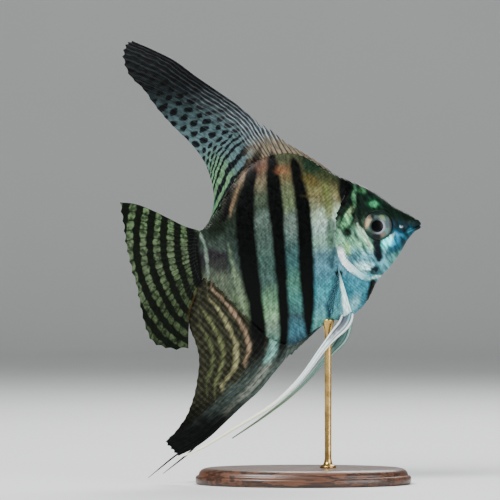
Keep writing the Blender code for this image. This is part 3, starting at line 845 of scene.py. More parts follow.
@dataclass(frozen=True)
class Flesh:
    """The colours of the flank and head, shared by the skin and its scales."""

    bars: NodeTree
    places: NodeTree
    # grounds: height and colour, from belly to back
    stern: Inks = (
        (-38, "2c2f22"), (-30, "39432f"), (-22, "4c5a45"), (-14, "424f42"), (-5, "2c3833"),
        (3, "26322d"), (12, "1c261e"), (20, "2a2c22"), (28, "35301f"), (36, "322a22"),
    )
    rear: Inks = (
        (-44, "537f73"), (-36, "677d6c"), (-30, "709370"), (-24, "587d5e"), (-16, "364b46"),
        (-6, "385049"), (9, "3f4e47"), (14, "4e5f57"), (19, "323e34"), (25, "3b4536"), (31, "615946"),
        (38, "4e3c2f"),
    )
    middle: Inks = (
        (-44, "34505e"), (-38, "36636f"), (-32, "2e464b"), (-24, "3e706a"), (-17, "406a5b"),
        (-7, "315252"), (1, "354d4a"), (8, "586a63"), (14, "4e5b54"), (19, "546247"), (28, "4c503a"),
        (34, "594d34"), (41, "393d2b"),
    )
    front: Inks = (
        (-36, "5b9c96"), (-31, "4f8d93"), (-26, "467e88"), (-22, "3d8a94"), (-16, "3a6c77"),
        (-10, "4d7c8a"), (-5, "4b6e76"), (2, "789c8b"), (8, "859c96"), (14, "96ad96"), (18, "6b7158"),
        (21, "625e42"), (25, "5e5b3a"), (30, "333721"), (36, "16271a"),
    )
    cheek: Inks = (
        (-22, "2e606c"), (-16, "438690"), (-11, "4c868e"), (-6, "50808a"), (-1, "649a7a"),
        (4, "6c9c80"), (8, "405c48"), (12, "0d1712"),
    )
    snout: Inks = (
        (-14, "3a756f"), (-7, "417370"), (-3, "123c48"), (1, "103a48"), (4, "06303c"), (8, "02181f"),
        (11, "050f10"),
    )
    stem: Inks = (
        (-12, "4c5546"), (-7, "282b28"), (0, "221f23"), (4, "343f39"), (7, "212c25"), (11, "0e160d"),
    )
    breast: str = "327080"
    forehead: str = "06140d"
    white: str = "eef6f2"
    lip: str = "06100f"

    def group(self) -> NodeTree:
        """Builds the group that colours the flesh.

        Returns:
            A group whose outputs are the colour, how black it is and how silvery it is.
        """
        pen, given = new_group(
            "flesh", {"Gill Edge": 0.0, "Gill Share": 0.0, "Tint": 0.5, "Edge": 0.0},
            {"Colour": "Color", "Black": "Float", "Silver": "Float"},
        )
        where = pen.group(self.places)
        along, up = where["Along"], where["Up"]
        bars = pen.group(self.bars, Along=along, Up=up, Wobble=0.34)
        black = bars["Black"]
        base = self.head_colour(along, up, given["Gill Edge"], self.flank_colour(along, up))
        base = base.paint(black, BLACK)
        for mark in MARKS:
            drawn = mark.draw(along, up, bars["Wobble"])
            base = base.paint(drawn, mark.ink)
            black = black * (1.0 - drawn)
            if mark.ink == BLACK:
                black = black + drawn
        fleck = pen.noise(pen.place(), 1500, 3.0) * 0.4 + 0.64
        shade = (given["Tint"] * 0.36 + fleck) * (given["Edge"] * -0.4 + 1.08)
        base = base.shaded(shade * self.mottle(along, up, given["Gill Edge"]))
        black = black.apply("MAXIMUM", along.ramp(84, 89, 0.0, 0.9))  # the snout is as dull as the bars
        return pen.give(
            Colour=self.gill_rim(given["Gill Edge"], given["Gill Share"], base), Black=black,
            Silver=(1.0 - black) * up.ramp(30, 4, 0.1, 1.0),
        )

    def flank_colour(self, along: Value, up: Value) -> Value:
        """Colours the flank by height, in a different way between each pair of bars.

        Args:
            along: The surface's place along the fish.
            up: Its height.

        Returns:
            The flank's colour.
        """
        high = up + (along.pen.noise(along.pen.place(), 170, 3.0) - 0.5) * 9.0
        base = self.ground(high, self.stern)
        zones = ((17.5, 21, self.rear), (31, 37, self.middle), (44, 50, self.front), (12, 9, self.stem))
        for start, stop, inks in zones:
            base = base.paint(along.ramp(start, stop), self.ground(high, inks))
        return base

    def mottle(self, along: Value, up: Value, gill: Value) -> Value:
        """Shades the flesh in streaks, upright on the flank and slanting on the head.

        Args:
            along: The surface's place along the fish.
            up: Its height.
            gill: Its distance in front of the gill cover's edge.

        Returns:
            A factor on the colour.
        """
        upright = along.pen.point(along, up * 0.45)
        slanting = along.pen.point(up * 0.46 + along, up * 0.4)
        flank = along.pen.noise(upright, 0.75, 4.0).ramp(0.3, 0.7, 0.68, 1.34)
        head = along.pen.noise(slanting, 0.62, 4.0).ramp(0.34, 0.66, 0.4, 1.65)
        return flank + (head - flank) * gill.ramp(-0.4, 1.5)

    def ground(self, high: Value, inks: Inks) -> Value:
        """Reads a colour by height.

        Args:
            high: The height.
            inks: The heights and their colours.

        Returns:
            The colour.
        """
        low, top = inks[0][0], inks[-1][0]
        made = high.pen.node("ShaderNodeValToRGB", None, high.share(low, top))
        stops = made.color_ramp.elements
        while len(stops) < len(inks):
            stops.new(0.5)
        for stop, (height, code) in zip(stops, inks):
            stop.position = (height - low) / (top - low)
            stop.color = colour(code)
        return Value(high.pen, made.outputs[0])

    def head_colour(self, along: Value, up: Value, gill: Value, flank: Value) -> Value:
        """Lays the head's colours over the flank's.

        Args:
            along: The surface's place along the fish.
            up: Its height.
            gill: Its distance in front of the gill cover's edge.
            flank: The flank's colour.

        Returns:
            The colour of flank and head.
        """
        patchy = (along.pen.noise(along.pen.place(), 240, 3.0) - 0.5) * 5.0
        high = up + patchy
        head = gill.ramp(-0.4, 0.4)
        base = flank.paint(along.ramp(58, 64) * up.ramp(-12, -17) * 0.9, self.breast)
        snout = (along + patchy).ramp(82, 86.5)
        face = self.ground(high, self.cheek).paint(snout, self.ground(high, self.snout))
        brow = along.curve(((60, 21), (68, 15), (76, 11.5), (88, 8.8), (97, 6.8)), (50, 110), (-10, 40))
        forehead = head * (high - brow).ramp(-1.6, 1.6) * 0.93
        nape = along.ramp(60, 66) * high.ramp(22, 29) * 0.75
        lips = along.ramp(96.5, 99) * up.ramp(0.5, 3) * 0.85
        base = base.paint(head, face).paint(nape, self.forehead)
        return base.paint(forehead, self.forehead).paint(lips, self.lip)

    def gill_rim(self, edge: Value, share: Value, base: Value) -> Value:
        """Adds the white membrane along the gill cover's lower edge, and painted shade where a groove runs
        inside it.

        Args:
            edge: The surface's distance in front of the gill cover's edge.
            share: Its place along that edge.
            base: The colour below.

        Returns:
            The colour with the membrane and groove.
        """
        pen = edge.pen
        membrane = edge.ramp(-0.4, 0.2) * edge.ramp(5.0, 3.2) * share.ramp(0.5, 0.58) * share.ramp(0.95, 0.84)
        tone = pen.mix(share.ramp(0.66, 0.88), self.white, "7fc6cf")
        tone = tone.paint(pen.noise(pen.place(), 520, 3.0).ramp(0.62, 0.35, 0.0, 0.6), "a3b8bc")
        # painted shade of a groove just inside the membrane
        groove = edge.ramp(4.4, 5.0) * edge.ramp(6.2, 5.4) * share.ramp(0.6, 0.7) * 0.65
        return base.paint(membrane, tone).paint(groove, "335353")


# ---- finishes


@dataclass(frozen=True)
class SkinFinish:
    """Wet skin under and between the scales, and bare on the head."""

    flesh: NodeTree

    def build(self) -> Material:
        """Builds the material.

        Returns:
            The skin's material.
        """
        made, pen = new_material("wet_skin", Roughness=0.4, Specular_IOR_Level=0.06, Coat_Roughness=0.12)
        edge, share = pen.attribute("gill_edge"), pen.attribute("gill_share")
        flesh = pen.group(self.flesh, Gill_Edge=edge, Gill_Share=share)
        pen.give(
            Base_Color=flesh["Colour"], Metallic=flesh["Silver"] * 0.15,
            Coat_Weight=flesh["Black"] * -0.09 + 0.1,
            Roughness=pen.noise(pen.place(), 700, 2.0).ramp(0.2, 0.8, 0.3, 0.5),
            Normal=pen.bump(pen.noise(pen.place(), 2600, 3.0), 0.25, 0.00008),
        )
        return made


@dataclass(frozen=True)
class ScaleFinish:
    """Thin, pearly scales that carry the skin's pattern and darken towards their free edges."""

    flesh: NodeTree

    def build(self) -> Material:
        """Builds the material.

        Returns:
            The scales' material.
        """
        made, pen = new_material("pearly_scales", Roughness=0.4, Specular_IOR_Level=0.06, Coat_Roughness=0.15)
        names = ("gill_edge", "gill_share", "tint", "free_edge")
        gill, share, tint, edge = (pen.attribute(name) for name in names)
        flesh = pen.group(self.flesh, Gill_Edge=gill, Gill_Share=share, Tint=tint, Edge=edge)
        pen.give(
            Base_Color=flesh["Colour"], Metallic=flesh["Silver"] * 0.22, Roughness=tint * 0.16 + 0.3,
            Coat_Weight=flesh["Black"] * -0.05 + 0.07,
        )
        return made


@dataclass(frozen=True)
class FinPlace:
    """What a fin's finish reads of the place that it colours."""

    pen: Pen
    place: Value
    along: Value
    up: Value
    ray: Value
    run: Value  # millimetres from the root
    reach: Value  # share of the ray's length
    uneven: Value
    stripe: Value  # 0 on the rays and 1 between them


@dataclass(frozen=True)
class FinFinish:
    """A fin's thin skin over fine rays, on a ground that each kind of fin paints for itself."""

    bars: NodeTree
    places: NodeTree
    name: str = "fin_web"
    bar_share: tuple[float, ...] = (-60, -46, 0.92, 0.92)  # two heights, and the bars' strength at each
    dark_from: float = 200.0  # height from which the fin darkens, and where it is nearly black
    dark_to: float = 220.0
    clear: float = 0.0  # how far light goes through the webs

    def build(self) -> Material:
        """Builds the material.

        Returns:
            The fin's material.
        """
        made, pen = new_material(self.name, Roughness=0.5, Specular_IOR_Level=0.05)
        place, where = pen.place(), pen.group(self.places)
        ray, run, reach = (pen.attribute(name) for name in ("ray", "run", "reach"))
        uneven = pen.noise(place, 260, 2.0) - 0.5
        stripe = abs((ray * math.pi).apply("SINE"))
        at = FinPlace(pen, place, where["Along"], where["Up"], ray, run, reach, uneven, stripe)
        bars = pen.group(self.bars, Along=at.along, Up=at.up, Wobble=0.5)
        base = self.ground(at).paint(bars["Black"] * at.up.ramp(*self.bar_share), "030405")
        depth = (abs(at.up) + uneven * 10.0).ramp(self.dark_from, self.dark_to, 1.0, 0.05)
        blotch = pen.noise(pen.point(ray, run * 0.22), 1.7, 3.0).ramp(0.3, 0.7, 0.6, 1.45)
        joints = (run * (math.tau / 0.55)).apply("COSINE")
        pen.give(
            Base_Color=base.shaded(blotch * depth), Roughness=stripe.ramp(0, 1, 0.42, 0.56),
            Normal=pen.bump(joints, 0.3, 0.00006),
        )
        if self.clear:
            web = stripe.ramp(0.0, 0.5, 0.75, 1.0) * ray.ramp(2.0, 4.2, 0.25, 1.0)
            pen.give(Alpha=1.0 - web * self.clear)
        return made

    def ground(self, at: FinPlace) -> Value:
        """Paints the ground under the bars."""
        raise NotImplementedError

    def beads(self, at: FinPlace, period: float, shift: float, cut: float, pinch: float) -> Value:
        """Draws bands across the rays, pinched by them into beads.

        Args:
            at: The place on the fin.
            period: Distance between bands, in millimetres along the rays.
            shift: Where the first band lies.
            cut: Below 0 the light bands are the broader ones.
            pinch: How far the rays pinch the bands.

        Returns:
            1 on the light bands and 0 between them.
        """
        count = (at.run - shift) / period + at.uneven * 0.3
        wave = (count * math.tau).apply("COSINE") + (at.stripe - 0.7) * pinch
        return wave.ramp(cut - 0.35, cut + 0.35)


@dataclass(frozen=True)
class DorsalFinish(FinFinish):
    """Bands at the rear, which break up into dark blobs outwards and into streaks towards the front."""

    name: str = "dorsal_web"
    dark_from: float = 44.0
    dark_to: float = 80.0
    bar_share: tuple[float, ...] = (40, 50, 0.92, 0.5)
    blob: tuple[float, float] = (2.1, 4.2)  # rays, millimetres

    def ground(self, at: FinPlace) -> Value:
        """Paints the ground under the bars.

        Args:
            at: The place on the fin.

        Returns:
            Its colour.
        """
        column = (at.uneven * 1.8 + at.ray) / self.blob[0]
        each = column.apply("FLOOR")
        chance = at.pen.value("ShaderNodeTexWhiteNoise", {"noise_dimensions": "1D"}, W=each, output="Value")
        broken = at.run.ramp(6, 17)
        count = (at.run - 2.4) / self.blob[1] + (each * 0.5 + chance * 0.3) * broken + at.uneven * 0.9
        across = abs((column * math.pi).apply("SINE"))
        pinch = (across - 0.75) * broken.ramp(0, 1, 0.3, 1.7)
        light = ((count * math.tau).apply("COSINE") - pinch).ramp(-0.6, 0.4)
        web = at.pen.mix(at.ray.ramp(10, 15) * at.run.ramp(18, 7), "425658", "507252")
        base = at.pen.mix(light, "080c0f", web)
        front = (at.uneven * 4.0 + at.ray).ramp(7.0, 2.0)
        streaks = front.apply("MAXIMUM", at.run.ramp(36, 56) * 0.5)
        fine = abs(((at.uneven * 0.7 + at.ray) * (math.pi * 1.2)).apply("SINE"))
        base = base.paint(streaks * 0.8, at.pen.mix(fine.ramp(0.75, 0.15), "2c3438", "949ca2"))
        base = base.paint(at.ray.ramp(19.5, 21.5) * at.reach.ramp(0.35, 0.6) * 0.7, "2d6a52")
        base = base.paint(at.stripe.ramp(0.35, 0.0, 0.0, 0.25), "4a555a")
        tan = at.pen.mix(at.stripe.ramp(0.1, 0.7), "28261d", "685c48")
        return base.paint(at.along.ramp(20, 29) * at.run.ramp(10, 2.5, 0.0, 0.85), tan)


@dataclass(frozen=True)
class TailFinish(FinFinish):
    """Broken grey-green bands across dark rays, palest at the top and nearly lost in the lower lobe."""

    name: str = "tail_web"

    def ground(self, at: FinPlace) -> Value:
        """Paints the ground under the bars.

        Args:
            at: The place on the fin.

        Returns:
            Its colour.
        """
        rise = at.uneven * 5.0 + at.ray
        light = at.pen.mix(rise.ramp(1.5, 5.5), "475c3e", "43503a").paint(rise.ramp(8.0, 12.5), "3b4830")
        broken = at.pen.noise(at.place, 620, 3.0).ramp(0.36, 0.6, 0.25, 1.15)
        faint = self.beads(at, 5.1, 0.8, 0.1, 0.5) * at.ray.ramp(9, 14, 1.0, 0.6)
        base = at.pen.mix(faint * broken, "060a05", light)
        base = base.paint(at.stripe.ramp(0.45, 0.05, 0.0, 0.7), "080d06")
        return base.paint(at.ray.ramp(16.4, 16.9) * at.reach.ramp(0.75, 0.4, 0.0, 0.7), "33240e")


@dataclass(frozen=True)
class AnalFinish(FinFinish):
    """Thin tan and olive arcs down the fin behind the rear bar, and a grey-green front."""

    name: str = "anal_web"
    bar_share: tuple[float, ...] = (-62, -42, 0.25, 0.92)
    dark_from: float = 60.0
    dark_to: float = 80.0
    bands: tuple[Bar, ...] = (
        Bar(
            "74a79e", ((-55, 23.9), (-46, 28.2), (-37, 28.9)),
            ((-60, -2), (-52, 1.2), (-46, 2), (-37, 1.6), (-34, 1.2)), 1.5, 0.85,
        ),
        Bar(
            "6c7068", ((-75, 4.5), (-68, 11.2), (-61, 18.5), (-55, 23.4), (-48, 27)),
            ((-82, -1), (-75, 1.2), (-61, 2.2), (-54, 2), (-50, -1)), 1.6, 0.8,
        ),
        Bar(
            "85705b", ((-52, 14.6), (-44.4, 17.2), (-36.6, 15.7), (-27.3, 10.8), (-20.2, 5.8), (-15, 2)),
            ((-58, -1), (-52, 0.4), (-44, 0.9), (-27, 0.9), (-18, 0.7), (-13, -0.5)), 1.1, 0.95,
        ),
        Bar(
            "7f7e5c",
            ((-61.2, 3.2), (-57.9, 6.2), (-51.9, 10.2), (-43.8, 11.2), (-35.4, 9), (-25.4, 4.1), (-18, 0)),
            ((-68, -1), (-62, 0.4), (-52, 0.9), (-35, 0.9), (-25, 0.6), (-16, -0.5)), 1.1, 0.95,
        ),
        Bar(
            "5a6140", ((-63.6, -0.3), (-54.2, 3), (-46, 5.2), (-37.8, 3.4), (-29.9, -0.4), (-22, -4)),
            ((-74, -1), (-64, 0.4), (-46, 0.9), (-30, 0.7), (-22, -0.5)), 1.1, 0.95,
        ),
        Bar(
            "485134", ((-60.6, -3.8), (-53.9, -1.2), (-45.7, 0.2), (-37.8, -1.9), (-30, -5)),
            ((-70, -1), (-61, 0.3), (-46, 0.8), (-36, 0.6), (-28, -0.5)), 1.1, 0.9,
        ),
    )

    def ground(self, at: FinPlace) -> Value:
        """Paints the ground under the bars.

        Args:
            at: The place on the fin.

        Returns:
            Its colour.
        """
        wobble = at.uneven * 2.6
        base = at.pen.mix((at.ray + wobble).ramp(7, 4), "1c1d15", "3a4643")
        cut = at.stripe.ramp(0.05, 0.45, 0.5, 1.0)
        for band in self.bands:
            base = base.paint(band.draw(at.along, at.up, wobble) * cut, band.ink)
        base = base.paint(self.beads(at, 1.9, 0.0, 0.2, 0.8) * 0.14, "625f46")
        base = base.paint(at.pen.noise(at.place, 560, 3.0).ramp(0.35, 0.65, 0.0, 0.3), "0d0f0a")
        return base.paint(at.stripe.ramp(0.4, 0.0, 0.0, 0.3), "13160e")


@dataclass(frozen=True)
class PectoralFinish(FinFinish):
    """A clear web behind a few white front rays."""

    name: str = "pectoral_web"
    clear: float = 0.94

    def ground(self, at: FinPlace) -> Value:
        """Paints the white front rays and the web behind them."""
        lead = (at.uneven * 2.4 + at.ray).ramp(4.2, 2.2) * at.reach.ramp(0.15, 0.45, 0.15, 1.0)
        return at.pen.mix(lead, "4f8792", "d6f4f2").paint(at.stripe.ramp(0.5, 0.0, 0.0, 0.3), "86b9c0")


@dataclass(frozen=True)
class FeelerFinish:
    """The smooth white of a pelvic fin, bluish at the root, with dark grooves between its strands."""

    name: str = "white_feeler"
    tip: str = "f2efc8"
    middle: str = "d3e4e8"
    root: str = "86ced0"
    groove: str = "2f3a40"
    strand: str = "393344"  # the dark strand above, and the light lower and upper edges
    edge: str = "f4faf4"

    def build(self) -> Material:
        """Builds the material.

        Returns:
            The feeler's material.
        """
        made, pen = new_material(
            self.name, Roughness=0.5, Subsurface_Weight=0.12, Specular_IOR_Level=0.15,
            Subsurface_Radius=(0.001, 0.001, 0.001),
        )
        ray = pen.attribute("ray")
        share = pen.attribute("reach") + pen.noise(pen.place(), 500, 2.0) * 0.2
        base = pen.mix(share.ramp(0.12, 0.26), self.root, self.middle).paint(share.ramp(0.5, 0.95), self.tip)
        low = abs(ray - 3.0)
        base = base.paint(low.ramp(2.0, 1.5) * share.ramp(0.45, 0.22, 0.0, 0.9), self.strand)
        base = base.paint(low.ramp(1.9, 2.6, 0.0, 0.85), self.edge)
        base = base.paint(low.ramp(0.7, 0.4, 0.0, 0.6), self.edge)
        strand = abs((ray * math.pi).apply("SINE"))
        base = base.paint(strand.ramp(0.65, 0.1, 0.0, 0.9) * share.ramp(0.75, 0.3), self.groove)
        pen.give(Base_Color=base, Normal=pen.bump(strand, 0.3, 0.0001))
        return made


# ---- the body


@dataclass(frozen=True)
class Fold:
    """A ridge or groove of the skin, in millimetres."""

    height: float  # below zero for a groove
    at: float  # its distance from the line or spot that it follows
    width: float

    def rise(self, distance: Array) -> Array:
        """Works out how far the fold stands out at distances from that line or spot."""
        return self.height * hump(distance, self.at, self.width)


@dataclass
class Body:
    """Head, trunk and tail stem under one skin with no seam."""

    fish: FishFrame
    back: Curve = Curve((
        (-1, 11), (2.5, 13.5), (8.5, 21.5), (13.5, 29), (19.5, 36), (26.5, 41), (34.5, 43.2), (42.5, 43.4),
        (49, 41.3), (56, 36.5), (64, 31.5), (71, 28), (78, 24.3), (83, 20.3), (87.5, 16), (92.5, 12.8),
        (97, 9.8), (100, 6.4),
    ))
    belly: Curve = Curve((
        (-1, -11.5), (3, -14), (7, -18.5), (12.5, -25.5), (19.5, -34.3), (27.5, -41.7), (35.5, -45),
        (42, -43.2), (48.5, -38.7), (56, -35.6), (63, -35), (68, -32.3), (72.5, -28.4), (75.5, -24),
        (78, -19.5), (81.5, -16), (85.5, -12), (90, -6.7), (93.5, -1.5), (97, 2.2), (100, 4.6),
    ))
    half_width: Curve = Curve((  # along, millimetres
        (-1, 1.3), (8, 2.3), (25, 4.4), (45, 6.2), (60, 6.9), (72, 7.1), (81, 6.3), (90, 4.4), (96, 3.0),
        (100, 1.6),
    ))
    gill_edge: Curve = Curve((
        (69.5, 32), (68.3, 26), (65.5, 20), (63, 15.5), (61.4, 10), (60.9, 4), (61, -3), (62.4, -8.6),
        (65.5, -12.7), (69.3, -16), (73.5, -18.2), (78, -19),
    ))
    cheek_fold: Curve = Curve(((72.2, 14), (72.6, 4), (74.3, -4), (78.5, -9.6), (84.5, -10.2)))
    jaw_fold: Curve = Curve(((93, 1.6), (89, -3), (84.8, -7), (80, -10.6)))
    lip_fold: Curve = Curve(((96.4, 8.4), (94.9, 5), (93.6, 1.4)))
    mouth: Curve = Curve(((93.9, 2.9), (96, 3.9), (98.5, 4.9), (102, 5.9)))
    pectoral_root: tuple[float, float] = (61.2, -11.5)
    nostril: tuple[float, float] = (91.3, 5.7)
    eye_at: tuple[float, float] = (80.6, 6.7)
    eye_radius: float = 5.3  # millimetres, as are the next six
    eye_sunk: float = 1.5
    gill_step: float = 0.55
    edge_half: float = 0.6
    coat_depth: float = 0.3
    bare_depth: float = 0.06
    ridge_round: float = 0.5
    section_power: float = 0.62
    coat_ends: tuple[float, float] = (80, 87)  # where the room left for scales narrows towards the snout
    gill_ridge: Fold = Fold(0.12, 1.6, 1.0)
    cheek_ridge: Fold = Fold(0.14, 0.9, 0.8)
    cheek_groove: Fold = Fold(-0.26, -0.3, 0.5)
    jaw_groove: Fold = Fold(-0.2, 0, 0.45)
    lip_groove: Fold = Fold(-0.22, 0, 0.4)
    mouth_slit: Fold = Fold(-0.62, 0, 0.26)
    upper_lip: Fold = Fold(0.2, 0.7, 0.4)
    lower_lip: Fold = Fold(0.2, -0.7, 0.42)
    eye_rim: Fold = Fold(0.14, 0.5, 0.6)
    eye_furrow: Fold = Fold(-0.06, 1.5, 0.5)
    nostril_rim: Fold = Fold(0.14, 0.62, 0.22)
    nostril_pit: Fold = Fold(-0.5, 0, 0.36)
    arm_swell: Fold = Fold(0.45, 0, 1.9)
    columns: int = 100  # on each side
    stem_run: float = 2.8  # how far the flesh runs out over the tail fin
    stem_steps: tuple[float, ...] = (1.0, 0.85, 0.65, 0.4, 0.2)
    coarse_step: float = 0.9  # between rings, behind the head and on it
    fine_step: float = 0.32
    head_from: float = 56.0
    snout_from: float = 98.2
    snout_tip: float = 100.4
    snout_middle: float = 5.6  # the height of its tip
    snout_turns: tuple[float, ...] = (12, 24, 36, 48, 58, 67, 75, 81)  # degrees

    def __post_init__(self) -> None:
        """Works out the skin's grid, which the scales grow from too."""
        steps = np.linspace(0, 1, self.columns)
        near = np.array([0.12, 0.35]) * steps[1]
        self.side_shares = np.concatenate([steps[:1], near, steps[1:-1], 1 - near[::-1], steps[-1:]])
        self.along, self.up, self.grid = self.bare_grid()
        self.grid = self.grid + self.outward() * (self.relief(self.along, self.up) * MM)[..., None]
        self.normals = self.outward()

    def flank(self, along: Array, up: Array) -> Array:
        """Works out half the thickness of the solids.

        Args:
            along: Where to read it.
            up: Where to read it.

        Returns:
            Distances from the middle plane, in millimetres.
        """
        top, bottom = self.back.height(along), self.belly.height(along)
        share = np.clip(np.abs(2 * (up - bottom) / (top - bottom) - 1), 0, 1)
        full = self.half_width.height(along)
        return self.edge_half + (full - self.edge_half) * (1 - share**2) ** self.section_power

    def rings(self) -> list[tuple[Array, float]]:
        """Lists the skin's rings from the tail to the snout.

        Returns:
            The ring's places along the fish, and how far it is shrunk towards an end.
        """
        heights = self.ring_heights()
        level = np.ones_like(heights)
        bulge = self.stem_run * (1 - 0.6 * heights**2)
        made = [(-level - bulge * step, 1 - 0.9 * step) for step in self.stem_steps]
        behind = np.arange(-1, self.head_from, self.coarse_step)
        head = np.arange(self.head_from, self.snout_from, self.fine_step)
        made += [(level * station, 1.0) for station in np.concatenate([behind, head])]
        for turn in np.radians(self.snout_turns):
            station = self.snout_from + (self.snout_tip - self.snout_from) * math.sin(turn)
            made.append((level * station, math.cos(turn)))
        return made

    def ring_heights(self) -> Array:
        """Spreads a ring's columns up the left side and down the right, closer near the ridges.

        Returns:
            Heights from -1 on the belly to 1 on the back.
        """
        shares = self.side_shares
        side = 0.45 * np.sin(np.pi * (shares - 0.5)) + 0.55 * (2 * shares - 1)
        return np.concatenate([side, side[-2:0:-1]])

    def bare_grid(self) -> tuple[Array, Array, Array]:
        """Lays out the skin before its folds.

        Returns:
            Along and up of every vertex, and its point in metres.
        """
        heights = self.ring_heights()
        inner_columns = np.ones(len(self.side_shares) - 2)
        sides = np.concatenate([[0], inner_columns, [0], -inner_columns])
        alongs, ups, points = [], [], []
        for along, shrink in self.rings():
            inner = np.clip(along, -1, 100)
            inset = lerp(self.coat_depth, self.bare_depth, ease(*self.coat_ends, inner))
            if along[0] > self.snout_from:
                middle, last = self.snout_middle, self.snout_from
                top = middle + (self.back.height(last) - middle) * shrink
                bottom = middle + (self.belly.height(last) - middle) * shrink
                full = self.half_width.height(last) * shrink
            else:
                edge = inset / self.fish.unit_mm
                top, bottom = self.back.height(inner) - edge, self.belly.height(inner) + edge
                full = self.half_width.height(inner) * shrink
            up = (top + bottom) / 2 + (top - bottom) / 2 * heights
            ridge = (1 - np.abs(heights)) * (top - bottom) / 2 * self.fish.unit_mm
            round_off = np.sqrt(1 - (1 - np.clip(ridge / self.ridge_round, 0, 1)) ** 2)
            thin = np.minimum(self.edge_half, 0.5 * full)
            out = thin * round_off + (full - thin) * (1 - heights**2) ** self.section_power
            out = np.maximum(out - inset * np.minimum(out, 1), 0)
            alongs.append(along)
            ups.append(up)
            points.append(self.fish.place(along, up, out * sides))
        return np.array(alongs), np.array(ups), np.array(points)

    def outward(self) -> Array:
        """Works out which way the skin faces.

        Returns:
            The grid's unit normals, pointing out of the fish.
        """
        down = np.gradient(self.grid, axis=0)
        across = np.roll(self.grid, -1, axis=1) - np.roll(self.grid, 1, axis=1)
        normals = np.cross(across, down)
        normals /= np.maximum(np.linalg.norm(normals, axis=-1, keepdims=True), 1e-12)
        left = normals[len(normals) // 2, self.columns // 2]
        return normals * math.copysign(1, left[1])

    def relief(self, along: Array, up: Array) -> Array:
        """Works out how far plates, folds and rims stand out of the plain shape.

        Args:
            along: Where to read it.
            up: Where to read it.

        Returns:
            Heights in millimetres.
        """
        spots = np.stack([along, up], -1)
        unit = self.fish.unit_mm
        ridge = np.minimum(self.back.height(along) - up, up - self.belly.height(along)) * unit
        flat = ease(0.3, 2.2, ridge)

        gill, share = self.gill_edge.distance(spots)
        ends = ease(0.04, 0.2, share) * ease(1.0, 0.92, share) * flat
        step = self.gill_step * ease(0.9, -0.2, gill) * ease(-7, -0.3, gill)
        height = (self.gill_ridge.rise(gill) - step) * ends

        fold, share = self.cheek_fold.distance(spots)
        ends = ease(0.0, 0.15, share) * ease(1.0, 0.8, share) * flat
        height += (self.cheek_ridge.rise(fold) + self.cheek_groove.rise(fold)) * ends
        fold, share = self.jaw_fold.distance(spots)
        height += self.jaw_groove.rise(fold) * ease(0, 0.2, share) * ease(1, 0.7, share) * flat
        fold, share = self.lip_fold.distance(spots)
        height += self.lip_groove.rise(fold) * np.sin(np.pi * share)

        fold, share = self.mouth.distance(spots)
        fold = fold * unit
        height += self.mouth_slit.rise(fold) * ease(0.02, 0.25, share)
        height += (self.upper_lip.rise(fold) + self.lower_lip.rise(fold)) * ease(0.1, 0.5, share)

        eye = self.fish.apart(along, up, self.eye_at) - self.eye_radius
        height += self.eye_rim.rise(eye) + self.eye_furrow.rise(eye) - self.eye_sunk * ease(0, -0.7, eye)
        nostril = self.fish.apart(along, up, self.nostril)
        height += self.nostril_rim.rise(nostril) + self.nostril_pit.rise(nostril)
        arm = np.hypot((along - self.pectoral_root[0]) * 1.2, (up - self.pectoral_root[1]) * 0.75) * unit
        return height + self.arm_swell.rise(arm)

    def build(self, finish: Material) -> Object:
        """Builds the skin and dresses it.

        Args:
            finish: The skin's material.

        Returns:
            The finished piece.
        """
        tail, snout = self.up[0], self.up[-1]
        ends = np.array([
            (self.along[0].min() - 0.4, (tail.max() + tail.min()) / 2),
            (self.along[-1].mean() + 0.1, (snout.max() + snout.min()) / 2),
        ])
        skin = tube("body_skin", self.grid, self.fish.place(ends[:, 0], ends[:, 1]))
        spots = np.stack([self.along, self.up], -1).reshape(-1, 2)
        gill, share = self.gill_edge.distance(np.concatenate([spots, ends]))
        tag(skin.data, "gill_edge", np.clip(gill, -GILL_REACH, GILL_REACH))
        tag(skin.data, "gill_share", share)
        return hand_over(
            skin, finish, "skin", "head", "upper_jaw", "lower_jaw", "gill_cover_left", "gill_cover_right",
            "trunk", "tail_stem",
        )


# ---- the scales


@dataclass(frozen=True)
class ScaleShape:
    """One scale, a thin plate with a round free edge, in units of the distance between scales."""

    rim: Points = ((-0.3, 0), (-0.15, 0.42), (0.35, 0.6), (0.8, 0.62), (1.15, 0.5), (1.37, 0.27), (1.45, 0))
    crown: Points = ((0.2, 0.045), (0.75, 0.06), (1.2, 0.045))  # place on the middle line, height
    slope: float = 0.075
    sunk: float = 0.02
    centre: float = 0.6

    def build(self) -> Object:
        """Builds the scale as an object that the coat repeats.

        Returns:
            The scale.
        """
        right = [(x, -y) for x, y in self.rim[-2:0:-1]]
        outline = [*self.rim, *right]
        count, middle = len(outline), len(self.rim) - 1
        points = [(x, y, x * self.slope - self.sunk) for x, y in outline]
        points += [(x, 0, x * self.slope - self.sunk + lift) for x, lift in self.crown]
        a, b, c = range(count, count + 3)
        half = [(0, 1, a), (1, 2, a), (a, 2, b), (2, 3, b), (b, 3, c), (3, 4, c), (4, 5, c), (5, 6, c)]
        faces = [tuple(range(count - 1, -1, -1))]
        for side in (1, -1):
            for face in half:
                face = tuple(side * n % count if n <= middle else n for n in face)
                faces.append(face if side == -1 else face[::-1])
        points = np.array(points)
        made = solid("one_scale", points, faces)
        x, y = points[:, 0], points[:, 1]
        tag(made.data, "tile_place", np.stack([(x - self.centre) / 2, y / 2, 0 * x], axis=-1))
        tag(made.data, "free_edge", ease(0.7, 1.45, np.hypot(x, 0.8 * y)))
        return made


